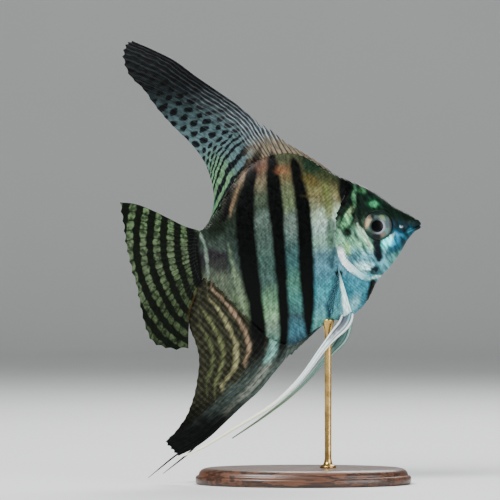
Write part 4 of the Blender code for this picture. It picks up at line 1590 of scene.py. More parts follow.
@dataclass(frozen=True)
class ScaleTree:
    """The Geometry Nodes tree that sets a scale on every root."""

    lean_low: Triple = (-1, -0.6, -1)  # the least and greatest turn, in wobbles
    lean_high: Triple = (1, 0.3, 1)
    size_low: float = 0.97
    size_high: float = 1.04

    def build(self) -> NodeTree:
        """Builds the tree with its named inputs.

        Returns:
            The tree.
        """
        inputs = {"Roots": "Geometry", "Scale": "Object", "Patch": "Float", "Wobble": "Float"}
        inputs |= {"Seed": "Int", "Finish": "Material"}
        pen, given = new_group("scale_rows", inputs, {"Scales": "Geometry"}, "Geometry")
        seed = given["Seed"]
        align = "FunctionNodeAlignRotationToVector"
        stand = pen.value(align, {"axis": "Z"}, Vector=self.named(pen, "face_out"))
        settings = {"axis": "X", "pivot_axis": "Z"}
        lie = pen.value(align, settings, Rotation=stand, Vector=self.named(pen, "lie"))
        settings = {"data_type": "FLOAT_VECTOR"}
        lean = pen.value("FunctionNodeRandomValue", settings, self.lean_low, self.lean_high, Seed=seed)
        lean = pen.vector("SCALE", lean, Scale=given["Wobble"])
        turn = pen.value("FunctionNodeEulerToRotation", None, lean)
        posed = pen.value("FunctionNodeRotateRotation", {"rotation_space": "LOCAL"}, lie, turn)
        size = self.named(pen, "size", "FLOAT") * self.random(seed, self.size_low, self.size_high, 11)
        settings = {"transform_space": "ORIGINAL"}
        shape = pen.value("GeometryNodeObjectInfo", settings, Object=given["Scale"], output="Geometry")
        each = pen.value(
            "GeometryNodeInstanceOnPoints", Points=given["Roots"], Instance=shape, Rotation=posed, Scale=size
        )
        tinted = pen.value(
            "GeometryNodeStoreNamedAttribute", {"data_type": "FLOAT", "domain": "INSTANCE"},
            Geometry=each, Name="tint", Value=self.random(seed, 0.0, 1.0, 23),
        )
        whole = pen.value("GeometryNodeRealizeInstances", Geometry=tinted)
        spread = pen.vector("SCALE", self.named(pen, "tile_place"), Scale=given["Patch"])
        unwrapped = pen.value(
            "GeometryNodeStoreNamedAttribute", {"data_type": "FLOAT2", "domain": "CORNER"},
            Geometry=whole, Name="OFBake", Value=pen.vector("ADD", self.named(pen, "root_place"), spread),
        )
        dressed = pen.value("GeometryNodeSetMaterial", Geometry=unwrapped, Material=given["Finish"])
        return pen.give(Scales=dressed)

    def named(self, pen: Pen, name: str, kind: str = "FLOAT_VECTOR") -> Value:
        """Reads a value that the roots or the scale carry."""
        return pen.value("GeometryNodeInputNamedAttribute", {"data_type": kind}, Name=name)

    def random(self, seed: Value, low: float, high: float, shift: int) -> Value:
        """Draws a number for each root.

        Args:
            seed: The tree's seed.
            low: The least that may be drawn.
            high: The most.
            shift: What sets this draw apart from the others.

        Returns:
            The number.
        """
        made = seed.pen.node("FunctionNodeRandomValue", {"data_type": "FLOAT"}, Seed=seed + float(shift))
        seed.pen.feed(made, {2: low, 3: high})
        return Value(seed.pen, made.outputs[1])


@dataclass
class ScaleCoat:
    """Rows of overlapping scales over the trunk, the tail's stem, the gill covers and the cheeks."""

    body: Body
    pitch: Points = (  # along, millimetres
        (-4, 1.05), (2, 1.2), (12, 1.4), (50, 1.4), (58, 1.25), (64, 1.15), (84, 1.0),
    )
    row_gap: float = 0.68  # millimetres
    ridge_margin: float = 0.35
    patch_margin: float = 0.01  # left free along the sides of the square of patches
    patch: float = 0.003
    bare_from: float = 83.5
    eye_clear: float = 1.5  # bare skin round the eye, in millimetres
    slit: Points = ((-0.6, 1.5), (0.12, 0.97))  # bare by the gill's edge: distances, shares
    brow: Triple = (74, 11.5, -0.2)  # where the bare brow starts along the fish and up it, and its slope
    throat: Triple = (79, -9, 0.6)  # the same for the bare throat
    wobble: float = 0.025
    seed: int = 7

    def build(self, finish: Material) -> list[Object]:
        """Builds the coat, one piece for each side.

        Args:
            finish: The scales' material.

        Returns:
            The finished pieces.
        """
        shape = ScaleShape().build()
        tree = ScaleTree().build()
        values = {"Scale": shape, "Patch": self.patch, "Wobble": self.wobble, "Seed": self.seed}
        values["Finish"] = finish
        made = []
        for side in Side:
            roots = self.roots(side)
            step = roots.modifiers.new("scales", "NODES")
            step.node_group = tree
            for item in tree.interface.items_tree:
                if item.in_out == "INPUT" and item.name in values:
                    step[item.identifier] = values[item.name]
            graph = bpy.context.evaluated_depsgraph_get()
            mesh = bpy.data.meshes.new_from_object(roots.evaluated_get(graph))
            roots.modifiers.clear()
            bpy.data.objects.remove(roots)
            for spare in ("face_out", "lie", "size", "root_place", "tile_place"):
                if spare in mesh.attributes:
                    mesh.attributes.remove(mesh.attributes[spare])
            made.append(hand_over(new_object(f"scales_{side.word}", mesh), None, "skin"))
        bpy.data.objects.remove(shape)
        return made

    def roots(self, side: Side) -> Object:
        """Finds the roots of one side's scales on the skin.

        Args:
            side: The side of the fish.

        Returns:
            A mesh of loose points that carry what the tree reads.
        """
        body = self.body
        columns = len(body.side_shares)
        order = side.value * np.arange(columns) % body.grid.shape[1]
        points, normals = body.grid[:, order], body.normals[:, order]
        flat = np.stack([body.along[:, order], body.up[:, order]], axis=-1)
        arcs = run_length(points.swapaxes(0, 1)).T / MM
        total = arcs[:, -1]
        line = flat[:, columns // 2, 0]
        pitch = np.interp(line, *np.array(self.pitch).T)
        run = np.concatenate([[0], np.cumsum(np.diff(line) * body.fish.unit_mm / pitch[1:])])
        rows = int(total.max() / 2 / self.row_gap)
        found = []
        for row in range(-rows, rows + 1):
            counts = np.arange(0.5 * (row % 2), run[-1] - 1, 1.0)
            station = np.interp(counts, run, np.arange(len(run)))
            low = station.astype(int)
            share = station - low
            width = lerp(total[low], total[low + 1], share)
            target = width / 2 + row * self.row_gap
            inside = (target > self.ridge_margin) & (target < width - self.ridge_margin)
            for i, f, reach in zip(low[inside], share[inside], target[inside]):
                found.append((i, f, np.interp(reach, lerp(arcs[i], arcs[i + 1], f), np.arange(columns))))
        low, share, column = np.array(found).T
        i, j = low.astype(int), np.minimum(column.astype(int), columns - 2)
        f, g = share[:, None], (column - j)[:, None]
        spots, places = bilinear(flat, i, j, f, g), bilinear(points, i, j, f, g)
        turn = bilinear(normals, i, j, f, g)
        rear = lerp(points[i, j] - points[i + 1, j], points[i, j + 1] - points[i + 1, j + 1], g)
        across = column / columns / 2
        across = across if side is Side.LEFT else 1 - across
        margin = self.patch_margin
        gill, gill_share = body.gill_edge.distance(spots)
        values = {
            "face_out": turn / np.linalg.norm(turn, axis=1, keepdims=True),
            "lie": rear / np.maximum(np.linalg.norm(rear, axis=1, keepdims=True), 1e-9),
            "size": lerp(pitch[i], pitch[i + 1], share) * MM,
            "root_place": lerp(margin, 1 - margin, np.stack([(i + share) / len(points), across], axis=-1)),
            "gill_edge": np.clip(gill, -GILL_REACH, GILL_REACH),
            "gill_share": gill_share,
        }
        keep = self.covered(spots, gill, gill_share)
        LOG.info("scales on the %s side: %d", side.word, keep.sum())
        mesh = bpy.data.meshes.new(f"scale_roots_{side.word}")
        mesh.from_pydata(places[keep].tolist(), [], [])
        values["root_place"] = np.pad(values["root_place"], ((0, 0), (0, 1)))
        for name, value in values.items():
            tag(mesh, name, value[keep])
        return new_object(mesh.name, mesh)

    def covered(self, spots: Array, gill: Array, gill_share: Array) -> Array:
        """Tells which places bear scales: not the snout, the brow, the eye's rim or the gill's edge.

        Args:
            spots: Along and up of the places.
            gill: Their distances in front of the gill cover's edge.
            gill_share: Their places along that edge.

        Returns:
            True where a scale grows.
        """
        body = self.body
        along, up = spots[:, 0], spots[:, 1]
        bare_eye = body.fish.apart(along, up, body.eye_at) < body.eye_radius + self.eye_clear
        (rear, front), (top, low) = self.slit
        slit = (gill > rear) & (gill < front) & (gill_share > top) & (gill_share < low)
        start, height, slope = self.brow
        brow = (along > start) & (up > height + (along - start) * slope)
        start, height, slope = self.throat
        throat = (along > start) & (up < height + (along - start) * slope)
        return ~(bare_eye | slit | brow | throat | (along > self.bare_from))


# ---- the fins


@dataclass
class FinSheet:
    """A fin of thin web over rays that fork towards the margin."""

    fish: FishFrame
    root: Edge
    tips: Edge
    first: Edge
    last: Edge
    rays: int
    sway: Sway
    rows: int = 72
    steps: int = 8  # columns for each ray
    crowding: float = 0.92  # below 1 the rows lie closer towards the margin
    web: float = 0.1  # half thickness in millimetres, as are the next five
    web_rim: float = 0.035
    sheet_rim: float = 0.06
    ray_root: float = 0.3
    ray_tip: float = 0.1
    flesh: float = 0.35
    fork_from: float = 0.4
    fork: float = 0.23  # how far a ray's branches part, to each side
    notch: float = 0.012  # how far the web ends short of the rays, as a share of their length
    sink: float = 1.6  # how far the sheet runs on under the skin
    scallop: float = 0.0
    seed: int = 3

    def point(self, s: Array, t: Array) -> Array:
        """Finds along and up of places on the fin.

        Args:
            s: Shares of the fin's width.
            t: Shares of its rays' length.

        Returns:
            The places, on the last axis.
        """
        start, end, wide, long = np.zeros_like(s), np.ones_like(s), s[..., None], t[..., None]
        near = lerp(self.first(start), self.last(start), wide)
        far = lerp(self.first(end), self.last(end), wide)
        edges = lerp(self.root(s), self.tips(s), long) + lerp(self.first(t), self.last(t), wide)
        return edges - lerp(near, far, long)

    def build(self, name: str) -> Object:
        """Builds the sheet with the values that its finish reads.

        Args:
            name: The object's name.

        Returns:
            The sheet.
        """
        s = np.linspace(0, 1, self.rays * self.steps + 1)
        s, t = np.meshgrid(s, np.linspace(0, 1, self.rows) ** self.crowding)
        ray = s * self.rays
        phase = np.abs(ray - np.round(ray))
        rng = np.random.default_rng(self.seed)
        ragged = np.interp(s[0], np.linspace(0, 1, self.rays + 1), rng.uniform(0, 1, self.rays + 1))
        between = np.sin(np.pi * phase)
        short = self.notch * (between**1.2 + 0.8 * ragged) + self.scallop * between**2
        spots = self.point(s, t * (1 - short))
        inward = spots[0] - spots[2]
        inward = inward / np.linalg.norm(inward, axis=-1, keepdims=True) * self.sink
        spots = np.concatenate([[spots[0] + inward, spots[0] + inward * 0.4], spots])
        reach = np.concatenate([np.zeros_like(t[:2]), t])
        ray, phase = (np.vstack([value[:1], value[:1], value]) for value in (ray, phase))

        split = self.fork * ease(self.fork_from, self.fork_from + 0.3, reach)
        rise = lerp(self.ray_root, self.ray_tip, np.clip(reach * 1.3, 0, 1)) * hump(phase, split, RAY_WIDTH)
        half = self.web_rim + (self.web - self.web_rim + rise) * ease(1.0, 0.965, reach)
        half += self.flesh * np.exp(-reach / 0.035)
        side = np.minimum(ray, self.rays - ray)
        half = lerp(self.sheet_rim, half, ease(0, 0.35, side + 0.12))
        along, up = spots[..., 0], spots[..., 1]
        middle = self.sway(along, up)
        run = (run_length(spots) - self.sink) * self.fish.unit_mm
        right, left = (self.fish.place(along, up, middle + out) for out in (-half, half))
        return sheet(name, right, left, {"ray": ray, "reach": reach, "run": run})


def straight(a: tuple[float, float], b: tuple[float, float]) -> Edge:
    """Makes the edge that runs straight from a to b."""
    return lambda share: lerp(np.array(a, float), np.array(b, float), np.asarray(share)[..., None])


def on_outline(outline: Curve, start: float, stop: float, off: float) -> Edge:
    """Makes the edge that follows an outline of the body, a little outside it.

    Args:
        outline: The outline.
        start: Where the edge starts along it.
        stop: Where it stops.
        off: How far above the outline it runs, or below it if less than zero.

    Returns:
        The edge.
    """

    def edge(share: Array) -> Array:
        """Finds places on the edge."""
        along = lerp(start, stop, np.asarray(share))
        return np.stack([along, outline.height(along) + off], axis=-1)

    return edge


@dataclass(frozen=True)
class Thread:
    """A fine thread that runs on from a fin, or a feeler with ridges along it."""

    fish: FishFrame
    path: Curve
    wide: Curve  # share of the length, half width in millimetres
    thick: float  # most half thickness, in millimetres
    out: Callable[[Array, Array, Array], Array]  # along, up and share to millimetres
    rings: int = 60
    sides: int = 12
    ridges: int = 0
    groove: float = 0.2

    def build(self, name: str) -> Object:
        """Builds the thread as a closed tube.

        Args:
            name: The object's name.

        Returns:
            The thread.
        """
        share = np.linspace(0, 1, self.rings)
        spots = self.path.at(share)
        run = np.gradient(spots, axis=0)
        across = np.column_stack([-run[:, 1], run[:, 0]])
        across /= np.linalg.norm(across, axis=1, keepdims=True)
        wide = self.wide.height(share)[:, None]
        turn = np.linspace(0, math.tau, self.sides, endpoint=False)
        round_off = 1 - self.groove * (0.5 - 0.5 * np.cos(self.ridges * turn))
        offset = wide * np.cos(turn) * round_off / self.fish.unit_mm
        flat = spots[:, None] + across[:, None] * offset[..., None]
        middle = self.out(spots[:, 0], spots[:, 1], share)
        out = middle[:, None] + np.minimum(wide, self.thick) * np.sin(turn) * round_off
        ends = self.fish.place(*spots[[0, -1]].T, middle[[0, -1]])
        made = tube(name, self.fish.place(flat[..., 0], flat[..., 1], out), ends)
        tag(made.data, "reach", np.concatenate([np.repeat(share, self.sides), [0, 1]]))
        ray = np.tile(turn / math.tau * max(self.ridges, 1), self.rings)
        tag(made.data, "ray", np.concatenate([ray, [0, 0]]))
        tag(made.data, "run", np.zeros(self.rings * self.sides + 2))
        return made


def dorsal_sway(along: Array, up: Array) -> Array:
    """Bends the dorsal fin out of the middle plane, by millimetres."""
    above = np.maximum(up - 42, 0) / 60
    return 3.0 * above**2 + 0.7 * above * np.sin(along * 0.16)


def anal_sway(along: Array, up: Array) -> Array:
    """Bends the anal fin out of the middle plane, by millimetres."""
    below = np.maximum(-44 - up, 0) / 50
    apart = 0.6 * ease(4, -6, along) * ease(-14, -24, up)  # clear of the tail fin
    return 1.6 * below**2 + 0.8 * below * np.sin(along * 0.2 + 1) + apart


def tail_sway(along: Array, up: Array) -> Array:
    """Bends the tail fin out of the middle plane, by millimetres."""
    behind = np.maximum(-2 - along, 0) / 35
    apart = 0.5 * ease(-1, -6, along) * ease(-12, -22, up)  # clear of the anal fin
    return -2.4 * behind**2 + 1.0 * behind * np.sin(up * 0.14) - apart


@dataclass(frozen=True)
class Sail:
    """A fin on the ridge of the back or belly, whose free spines lead up to forked rays."""

    name: str
    sway: Sway
    side: int  # 1 on the back and -1 on the belly
    front: float  # where the first spine stands
    spines: int
    spine_tips: Curve
    lead: Curve  # the first soft ray
    tips: Curve
    rear: Curve  # the last ray
    rays: int = 22
    gap: float = 0.4286  # from the ridge to the roots
    parting: float = 0.8  # between the last spine's root and the first soft ray's
    hidden: float = 0.9  # how far the last spine's tip lies behind the first soft ray

    def margin(self, share: Array) -> Array:
        """Runs along the spines' tips, and into the soft part at the end."""
        return self.spine_tips.at(share) - ease(0.8, 1, share)[..., None] * np.array([self.hidden, 0])

    def build(self, body: Body) -> list[Object]:
        """Builds the soft and the spiny part, with their rays and spines numbered from the first soft ray.

        Args:
            body: The body that the fin stands on.

        Returns:
            Both parts, the soft one first.
        """
        outline = body.back if self.side > 0 else body.belly
        off, start = self.side * self.gap, self.lead.points[0][0]
        root = on_outline(outline, self.front, start - self.parting, off)
        both = np.array([0.0, 1.0])
        inner, outer = root(both), self.margin(both)
        spiny = FinSheet(
            body.fish, root, self.margin, straight(inner[0], outer[0]), straight(inner[1], outer[1]),
            self.spines, self.sway, rows=26, ray_root=0.34, ray_tip=0.12, fork_from=9, scallop=0.2,
            notch=0.02, flesh=0.3,
        ).build(f"{self.name}_spiny_part")
        for value in spiny.data.attributes["ray"].data:
            value.value -= self.spines
        root = on_outline(outline, start, self.rear.points[0][0], off)
        soft = FinSheet(
            body.fish, root, self.tips.at, self.lead.at, self.rear.at, self.rays, self.sway, rows=84
        ).build(f"{self.name}_soft_part")
        return [soft, spiny]


@dataclass
class Fins:
    """All the fins: dorsal, anal, tail, pectorals and the pelvic feelers."""

    body: Body
    dorsal_sail: Sail = Sail(
        "dorsal", dorsal_sway, side=1, front=60.5, spines=11,
        spine_tips=Curve((
            (59.3, 35.2), (52.5, 40.6), (47, 44.6), (41, 49), (35.3, 54.6), (28.8, 60.6),
        )),
        lead=Curve((
            (35.4, 44), (31.5, 52.5), (27, 60.8), (19.5, 68.4), (11, 75.3), (2.2, 82.4), (-6.4, 89.8),
            (-16, 95.7), (-26, 101),
        )),
        tips=Curve((
            (-26, 101), (-29.6, 99.6), (-30.8, 94), (-29, 86), (-22.5, 78), (-16.5, 68.4), (-10.3, 60.3),
            (-3, 52), (2.6, 43.6), (5.4, 35), (6.4, 27), (5.6, 20.5),
        )),
        rear=Curve(((3.2, 15.4), (4.6, 17.8), (5.6, 20.5))),
    )
    anal_sail: Sail = Sail(
        "anal", anal_sway, side=-1, front=49.8, spines=6,
        spine_tips=Curve(((48.6, -39.4), (44, -43.2), (39, -47.3), (34.4, -51.4))),
        lead=Curve((
            (37.2, -46), (32.8, -52.2), (27.2, -58), (20.5, -65), (12.4, -71.2), (4.2, -77.8), (-3.8, -84.2),
            (-11.5, -88.8), (-19.5, -92),
        )),
        tips=Curve((
            (-19.5, -92), (-23, -88.6), (-24.8, -85), (-20, -80.6), (-14.6, -74), (-10.8, -66.4), (-8.2, -58),
            (-6.6, -49), (-7.4, -41), (-9.6, -33.6), (-9.4, -25.4), (-6.9, -18.6),
        )),
        rear=Curve(((-2.4, -11.2), (-5, -14.2), (-6.9, -18.6))),
    )
    anal_threads: tuple[Curve, ...] = (
        Curve(((-14, -88), (-20.5, -91.6), (-26.8, -95.9), (-34, -101))),
        Curve(((-9, -86), (-14, -90.6), (-20.5, -95.2), (-27, -99.6))),
    )
    thread_width: Curve = Curve(((0, 0.3), (0.5, 0.3), (1, 0.1)))
    thread_thick: float = 0.3  # most half thickness in millimetres, as is the next
    pelvic_thick: float = 0.5
    tail_lead: Curve = Curve((
        (-1.6, 11), (-8.3, 13.6), (-15, 17.6), (-22.3, 21.9), (-29.7, 25.4), (-37, 26.8),
    ))
    tail_tips: Curve = Curve((
        (-37, 26.8), (-36.9, 19.5), (-36.3, 11.5), (-35.6, 3.5), (-34.2, -5), (-32.4, -14), (-31.4, -23),
        (-30, -32), (-27, -39.4), (-20, -42.8), (-10.8, -43.2),
    ))
    tail_low: Curve = Curve(((-2, -11.4), (-5.4, -18.2), (-8.4, -25.6), (-10, -34.2), (-10.8, -43.2)))
    tail_rays: int = 17
    pectoral_root: tuple[tuple[float, float], tuple[float, float]] = ((60.6, -9.6), (60.6, -13.4))
    pectoral_tips: Curve = Curve(((65.4, -31.8), (62.4, -33.4), (58.8, -34), (55.5, -31.5), (54.5, -26)))
    pectoral_rays: int = 11
    pectoral_rows: int = 36
    pectoral_steps: int = 8  # columns for each ray
    pectoral_fork: float = 0.22
    pectoral_off: float = 0.75  # from the flank, in millimetres, as are the next three
    pectoral_tuck: float = 0.9
    pectoral_lead: float = 0.2
    pectoral_lift: float = 3.2
    pelvic_paths: tuple[tuple[Side, Curve], ...] = (
        (Side.RIGHT, Curve((
            (64.3, -31.8), (61.6, -37), (56, -42.2), (50.5, -48), (41, -59), (32.4, -66.7), (23, -73.1),
            (6.6, -81.3), (-8, -88.6), (-20, -92.6),
        ))),
        (Side.LEFT, Curve((
            (63.4, -33.5), (60.6, -43), (55, -49.4), (50.2, -54.4), (42.5, -62), (33, -69.6), (20, -78),
            (6, -86),
        ))),
    )
    pelvic_spread: Curve = Curve(((0, 1.4), (0.15, 3.4), (0.5, 6.2), (1, 5.4)))
    pelvic_width: Curve = Curve((
        (0, 2), (0.05, 2.5), (0.15, 2.2), (0.28, 1.4), (0.5, 0.85), (0.8, 0.5), (1, 0.22),
    ))

    def dorsal(self, finish: Material) -> Object:
        """Builds the dorsal fin as one piece."""
        made = join("dorsal_sail", self.dorsal_sail.build(self.body))
        return hand_over(made, finish, "dark_fin", "dorsal_fin_spines", "dorsal_fin_rays")

    def anal(self, finish: Material) -> Object:
        """Builds the anal fin with its two threads as one piece.

        Args:
            finish: The fin's material.

        Returns:
            The finished piece.
        """
        parts = self.anal_sail.build(self.body)
        for n, path in enumerate(self.anal_threads):
            thread = Thread(
                self.body.fish, path, self.thread_width, self.thread_thick, lambda x, z, _: anal_sway(x, z)
            )
            parts.append(thread.build(f"anal_thread_{n}"))
        return hand_over(join("anal_sail", parts), finish, "dark_fin", "anal_fin_spines", "anal_fin_rays")

    def tail(self, finish: Material) -> Object:
        """Builds the tail fin.

        Args:
            finish: The fin's material.

        Returns:
            The finished piece.
        """
        root = straight(self.tail_lead.points[0], self.tail_low.points[0])
        fan = FinSheet(
            self.body.fish, root, self.tail_tips.at, self.tail_lead.at, self.tail_low.at, self.tail_rays,
            tail_sway, rows=70, notch=0.02, ray_root=0.22,
        )
        return hand_over(fan.build("tail_fan"), finish, "dark_fin", "tail_fin")

    def pectoral(self, side: Side, finish: Material) -> Object:
        """Builds one pectoral fin, a clear fan that hangs along the flank and stands off it.

        Args:
            side: The side of the fish.
            finish: The fin's material.

        Returns:
            The finished piece.
        """
        fish, columns = self.body.fish, self.pectoral_rays * self.pectoral_steps + 1
        s, t = np.meshgrid(np.linspace(0, 1, columns), np.linspace(0, 1, self.pectoral_rows))
        ray = s * self.pectoral_rays
        phase = np.abs(ray - np.round(ray))
        root = straight(*self.pectoral_root)(s)
        reach = t * (1 - 0.015 * np.sin(np.pi * phase) ** 2)
        spots = lerp(root, self.pectoral_tips.at(s), reach[..., None])
        along, up = spots[..., 0], spots[..., 1]
        middle = self.body.flank(along, up) + self.pectoral_off + self.pectoral_lift * t**1.3
        middle -= self.pectoral_tuck * ease(0.12, 0, t)
        ridge = hump(phase, self.pectoral_fork * ease(0.45, 0.7, t), RAY_WIDTH)
        lead = self.pectoral_lead * ease(0.7, 0.1, ray)
        thick = 0.05 + (lerp(0.2, 0.05, t) * ridge + lead) * ease(1, 0.93, t)
        inner, outer = (fish.place(along, up, side.value * (middle + k * thick)) for k in (-1, 1))
        values = {"ray": ray, "reach": t, "run": run_length(spots) * fish.unit_mm}
        made = sheet(f"pectoral_{side.word}", inner, outer, values)
        return hand_over(made, finish, "clear_fin", f"pectoral_fin_{side.word}")

    def pelvic(self, side: Side, path: Curve, finish: Material) -> Object:
        """Builds one pelvic fin, a long feeler with fine ridges.

        Args:
            side: The side of the fish.
            path: The feeler's run.
            finish: The fin's material.

        Returns:
            The finished piece.
        """
        feeler = Thread(
            self.body.fish, path, self.pelvic_width, self.pelvic_thick,
            lambda along, up, share: side.value * self.pelvic_spread.height(share),
            rings=150, sides=24, ridges=6,
        )
        return hand_over(feeler.build(f"pelvic_{side.word}"), finish, "feeler", f"pelvic_fin_{side.word}")


# ---- the eyes


@dataclass
class Eye:
    """One eye: a clear low dome over a ringed iris and a black pupil."""

    body: Body
    side: Side
    radius: float = 5.25  # millimetres, as are the next five
    bulge: float = 1.0
    depth: float = 1.6
    sunk: float = 0.15
    skirt: float = 0.35
    skirt_inset: float = 0.3
    rings: int = 26
    spokes: int = 72
    tilt: float = 0.8  # how far the eye follows the flank's slope

    def axes(self) -> tuple[Array, Array, Array]:
        """Finds the eye's own directions.

        Returns:
            Unit vectors ahead, above and out of the head.
        """
        (along, up), step = self.body.eye_at, 0.5
        cos, sin = math.cos(self.body.fish.nose_up), math.sin(self.body.fish.nose_up)
        ahead, above = np.array([cos, 0, sin]), np.array([-sin, 0, cos])
        alongs, ups = np.array([along, along + step, along]), np.array([up, up, up + step])
        here, front, high = self.body.flank(alongs, ups)
        slope = ((front - here) * ahead + (high - here) * above) / (step * self.body.fish.unit_mm)
        axis = np.array([0, self.side.value, 0]) - self.tilt * slope
        axis /= np.linalg.norm(axis)
        ahead, above = (line - axis * (line @ axis) for line in (ahead, above))
        return ahead / np.linalg.norm(ahead), above / np.linalg.norm(above), axis

    def build(self, finish: Material) -> Object:
        """Builds the eye and dresses it.

        Args:
            finish: The eye's material.

        Returns:
            The finished piece.
        """
        ahead, above, axis = self.axes()
        along, up = self.body.eye_at
        centre = self.body.fish.place(along, up, self.side.value * float(self.body.flank(along, up)))
        sphere = (self.radius**2 + self.bulge**2) / (2 * self.bulge)
        dome = np.linspace(0, self.radius, self.rings)[1:]
        radii = np.concatenate([dome, [self.radius + 0.05, self.radius - self.skirt_inset]])[:, None]
        lifts = np.sqrt(sphere**2 - dome**2) - (sphere - self.bulge)
        lifts = np.concatenate([lifts, [-self.skirt, -self.depth]]) - self.sunk
        turn = np.linspace(0, math.tau, self.spokes, endpoint=False)
        x, z = radii * np.cos(turn), radii * np.sin(turn)
        rings = centre + (x[..., None] * ahead + z[..., None] * above + lifts[:, None, None] * axis) * MM
        ends = centre + np.outer([self.bulge - self.sunk, -self.depth], axis) * MM
        made = tube(f"eyeball_{self.side.word}", rings, ends)
        places = np.stack([x, z, np.zeros_like(x)], axis=-1).reshape(-1, 3)
        tag(made.data, "eye_place", np.concatenate([places, np.zeros((2, 3))]))
        return hand_over(made, finish, "eye", f"eye_{self.side.word}")


@dataclass(frozen=True)
class EyeFinish:
    """A black pupil in a thin silvery ring, and an iris of cream, green and steel patches."""

    pupil_at: tuple[float, float] = (-0.5, -0.2)  # millimetres, as are the next three
    pupil: float = 2.25
    ring: float = 2.85
    rim: float = 4.9
    patches: tuple[Spot, ...] = (  # ahead and above, in millimetres
        Spot("b09a7c", (-4.1, 1.6), (1.1, 2.7), -28, 0.5),
        Spot("5e4c44", (-2.8, 3.3), (0.8, 0.7), 20, 0.7, 0.9),
        Spot("1c1817", (-1.8, 3.4), (0.6, 1.2), 20, 0.6),
        Spot("111e17", (0, 4.7), (3.6, 1.1), -8, 0.5),
        Spot("3f4d52", (-0.4, 2.8), (1, 1), 0, 0.6, 0.8),
        Spot("66785c", (1.7, 2.8), (1.2, 0.9), -35, 0.6),
        Spot("22463a", (3.4, 2.4), (0.6, 1.6), 15, 0.6, 0.9),
        Spot("2c3b46", (3.6, 0.4), (1, 1.6), 0, 0.6, 0.9),
        Spot("4e7672", (2.6, -2), (0.7, 1.3), 20, 0.6, 0.9),
        Spot("6e6058", (1, -3.4), (1.4, 0.8), 25, 0.6, 0.95),
        Spot("06141a", (4.9, 0.6), (0.7, 3.2), 0, 0.5),
        Spot("14291f", (-3.6, -3.2), (1.8, 1.4), -40, 0.5),
        Spot("050909", (-1.2, -4.2), (1.9, 1.4), soft=0.4),
    )

    def build(self) -> Material:
        """Builds the material.

        Returns:
            The eye's material.
        """
        made, pen = new_material(
            "wet_eye", Roughness=0.25, Specular_IOR_Level=0.1, Coat_Weight=0.12, Coat_Roughness=0.03
        )
        place = pen.attribute("eye_place", "Vector")
        x, z = (pen.value("ShaderNodeSeparateXYZ", Vector=place, output=axis) for axis in "XY")
        fine = pen.noise(place, 2.6, 3.0)
        wobble = (fine - 0.5) * 0.9
        base = pen.mix(fine.ramp(0.3, 0.7), "34463f", "526a60")
        for patch in self.patches:
            base = base.paint(patch.draw(x, z, wobble), patch.ink)
        base = base.paint(pen.noise(place, 7.0, 3.0).ramp(0.4, 0.7, 0.0, 0.35), "22302e")
        outer = pen.vector("LENGTH", place, output="Value") + wobble
        base = base.paint(outer.ramp(self.rim - 0.7, self.rim + 0.3, 0.0, 0.75), "0e1b18")
        reach = wobble * 0.15 + pen.vector("DISTANCE", place, (*self.pupil_at, 0), output="Value")
        silver = pen.mix((x - z * 0.5).ramp(-1.6, 2.4), "202828", "868b9a")
        base = base.paint(reach.ramp(self.ring + 0.4, self.ring - 0.3, 0.0, 0.8), silver)
        pupil = reach.ramp(self.pupil + 0.1, self.pupil - 0.1)
        pen.give(
            Base_Color=base.paint(pupil, "010102"), Metallic=(1.0 - pupil) * 0.06,
            Normal=pen.bump(fine, 0.2, 0.0001),
        )
        return made


# ---- the stand


@dataclass(frozen=True)
class WoodFinish:
    """Dark oiled wood, with its grain along the base."""

    stretch: Triple = (0.03, 1.0, 1.0)

    def build(self) -> Material:
        """Builds the material.

        Returns:
            The wood's material.
        """
        made, pen = new_material("oiled_wood", Roughness=0.4, Coat_Weight=0.2, Coat_Roughness=0.15)
        place = pen.place()
        grain = (pen.noise(place, 640, 3.0, self.stretch) * 3.0 + pen.noise(place, 60)).apply("FRACT")
        pores = pen.noise(place, 5200, 2.0, self.stretch).ramp(0.6, 0.7)
        pen.give(
            Base_Color=pen.mix(grain.ramp(0.1, 0.9), "2a160c", "5b3620").paint(pores * 0.6, "170b06"),
            Roughness=grain.ramp(0, 1, 0.32, 0.46), Normal=pen.bump(grain - pores, 0.2, 0.00008),
        )
        return made


@dataclass(frozen=True)
class BrassFinish:
    """Brushed brass with faint tarnish."""

    def build(self) -> Material:
        """Builds the material.

        Returns:
            The brass's material.
        """
        made, pen = new_material("brushed_brass", Metallic=1.0, Roughness=0.3)
        place = pen.place()
        tarnish = pen.noise(place, 260, 4.0)
        pen.give(
            Base_Color=pen.mix(tarnish.ramp(0.35, 0.75), "c9a765", "8f6e3c"), Roughness=tarnish * 0.22 + 0.16,
            Normal=pen.bump(pen.noise(place, 4200, 2.0, (1.0, 1.0, 0.08)), 0.12, 0.00004),
        )
        return made


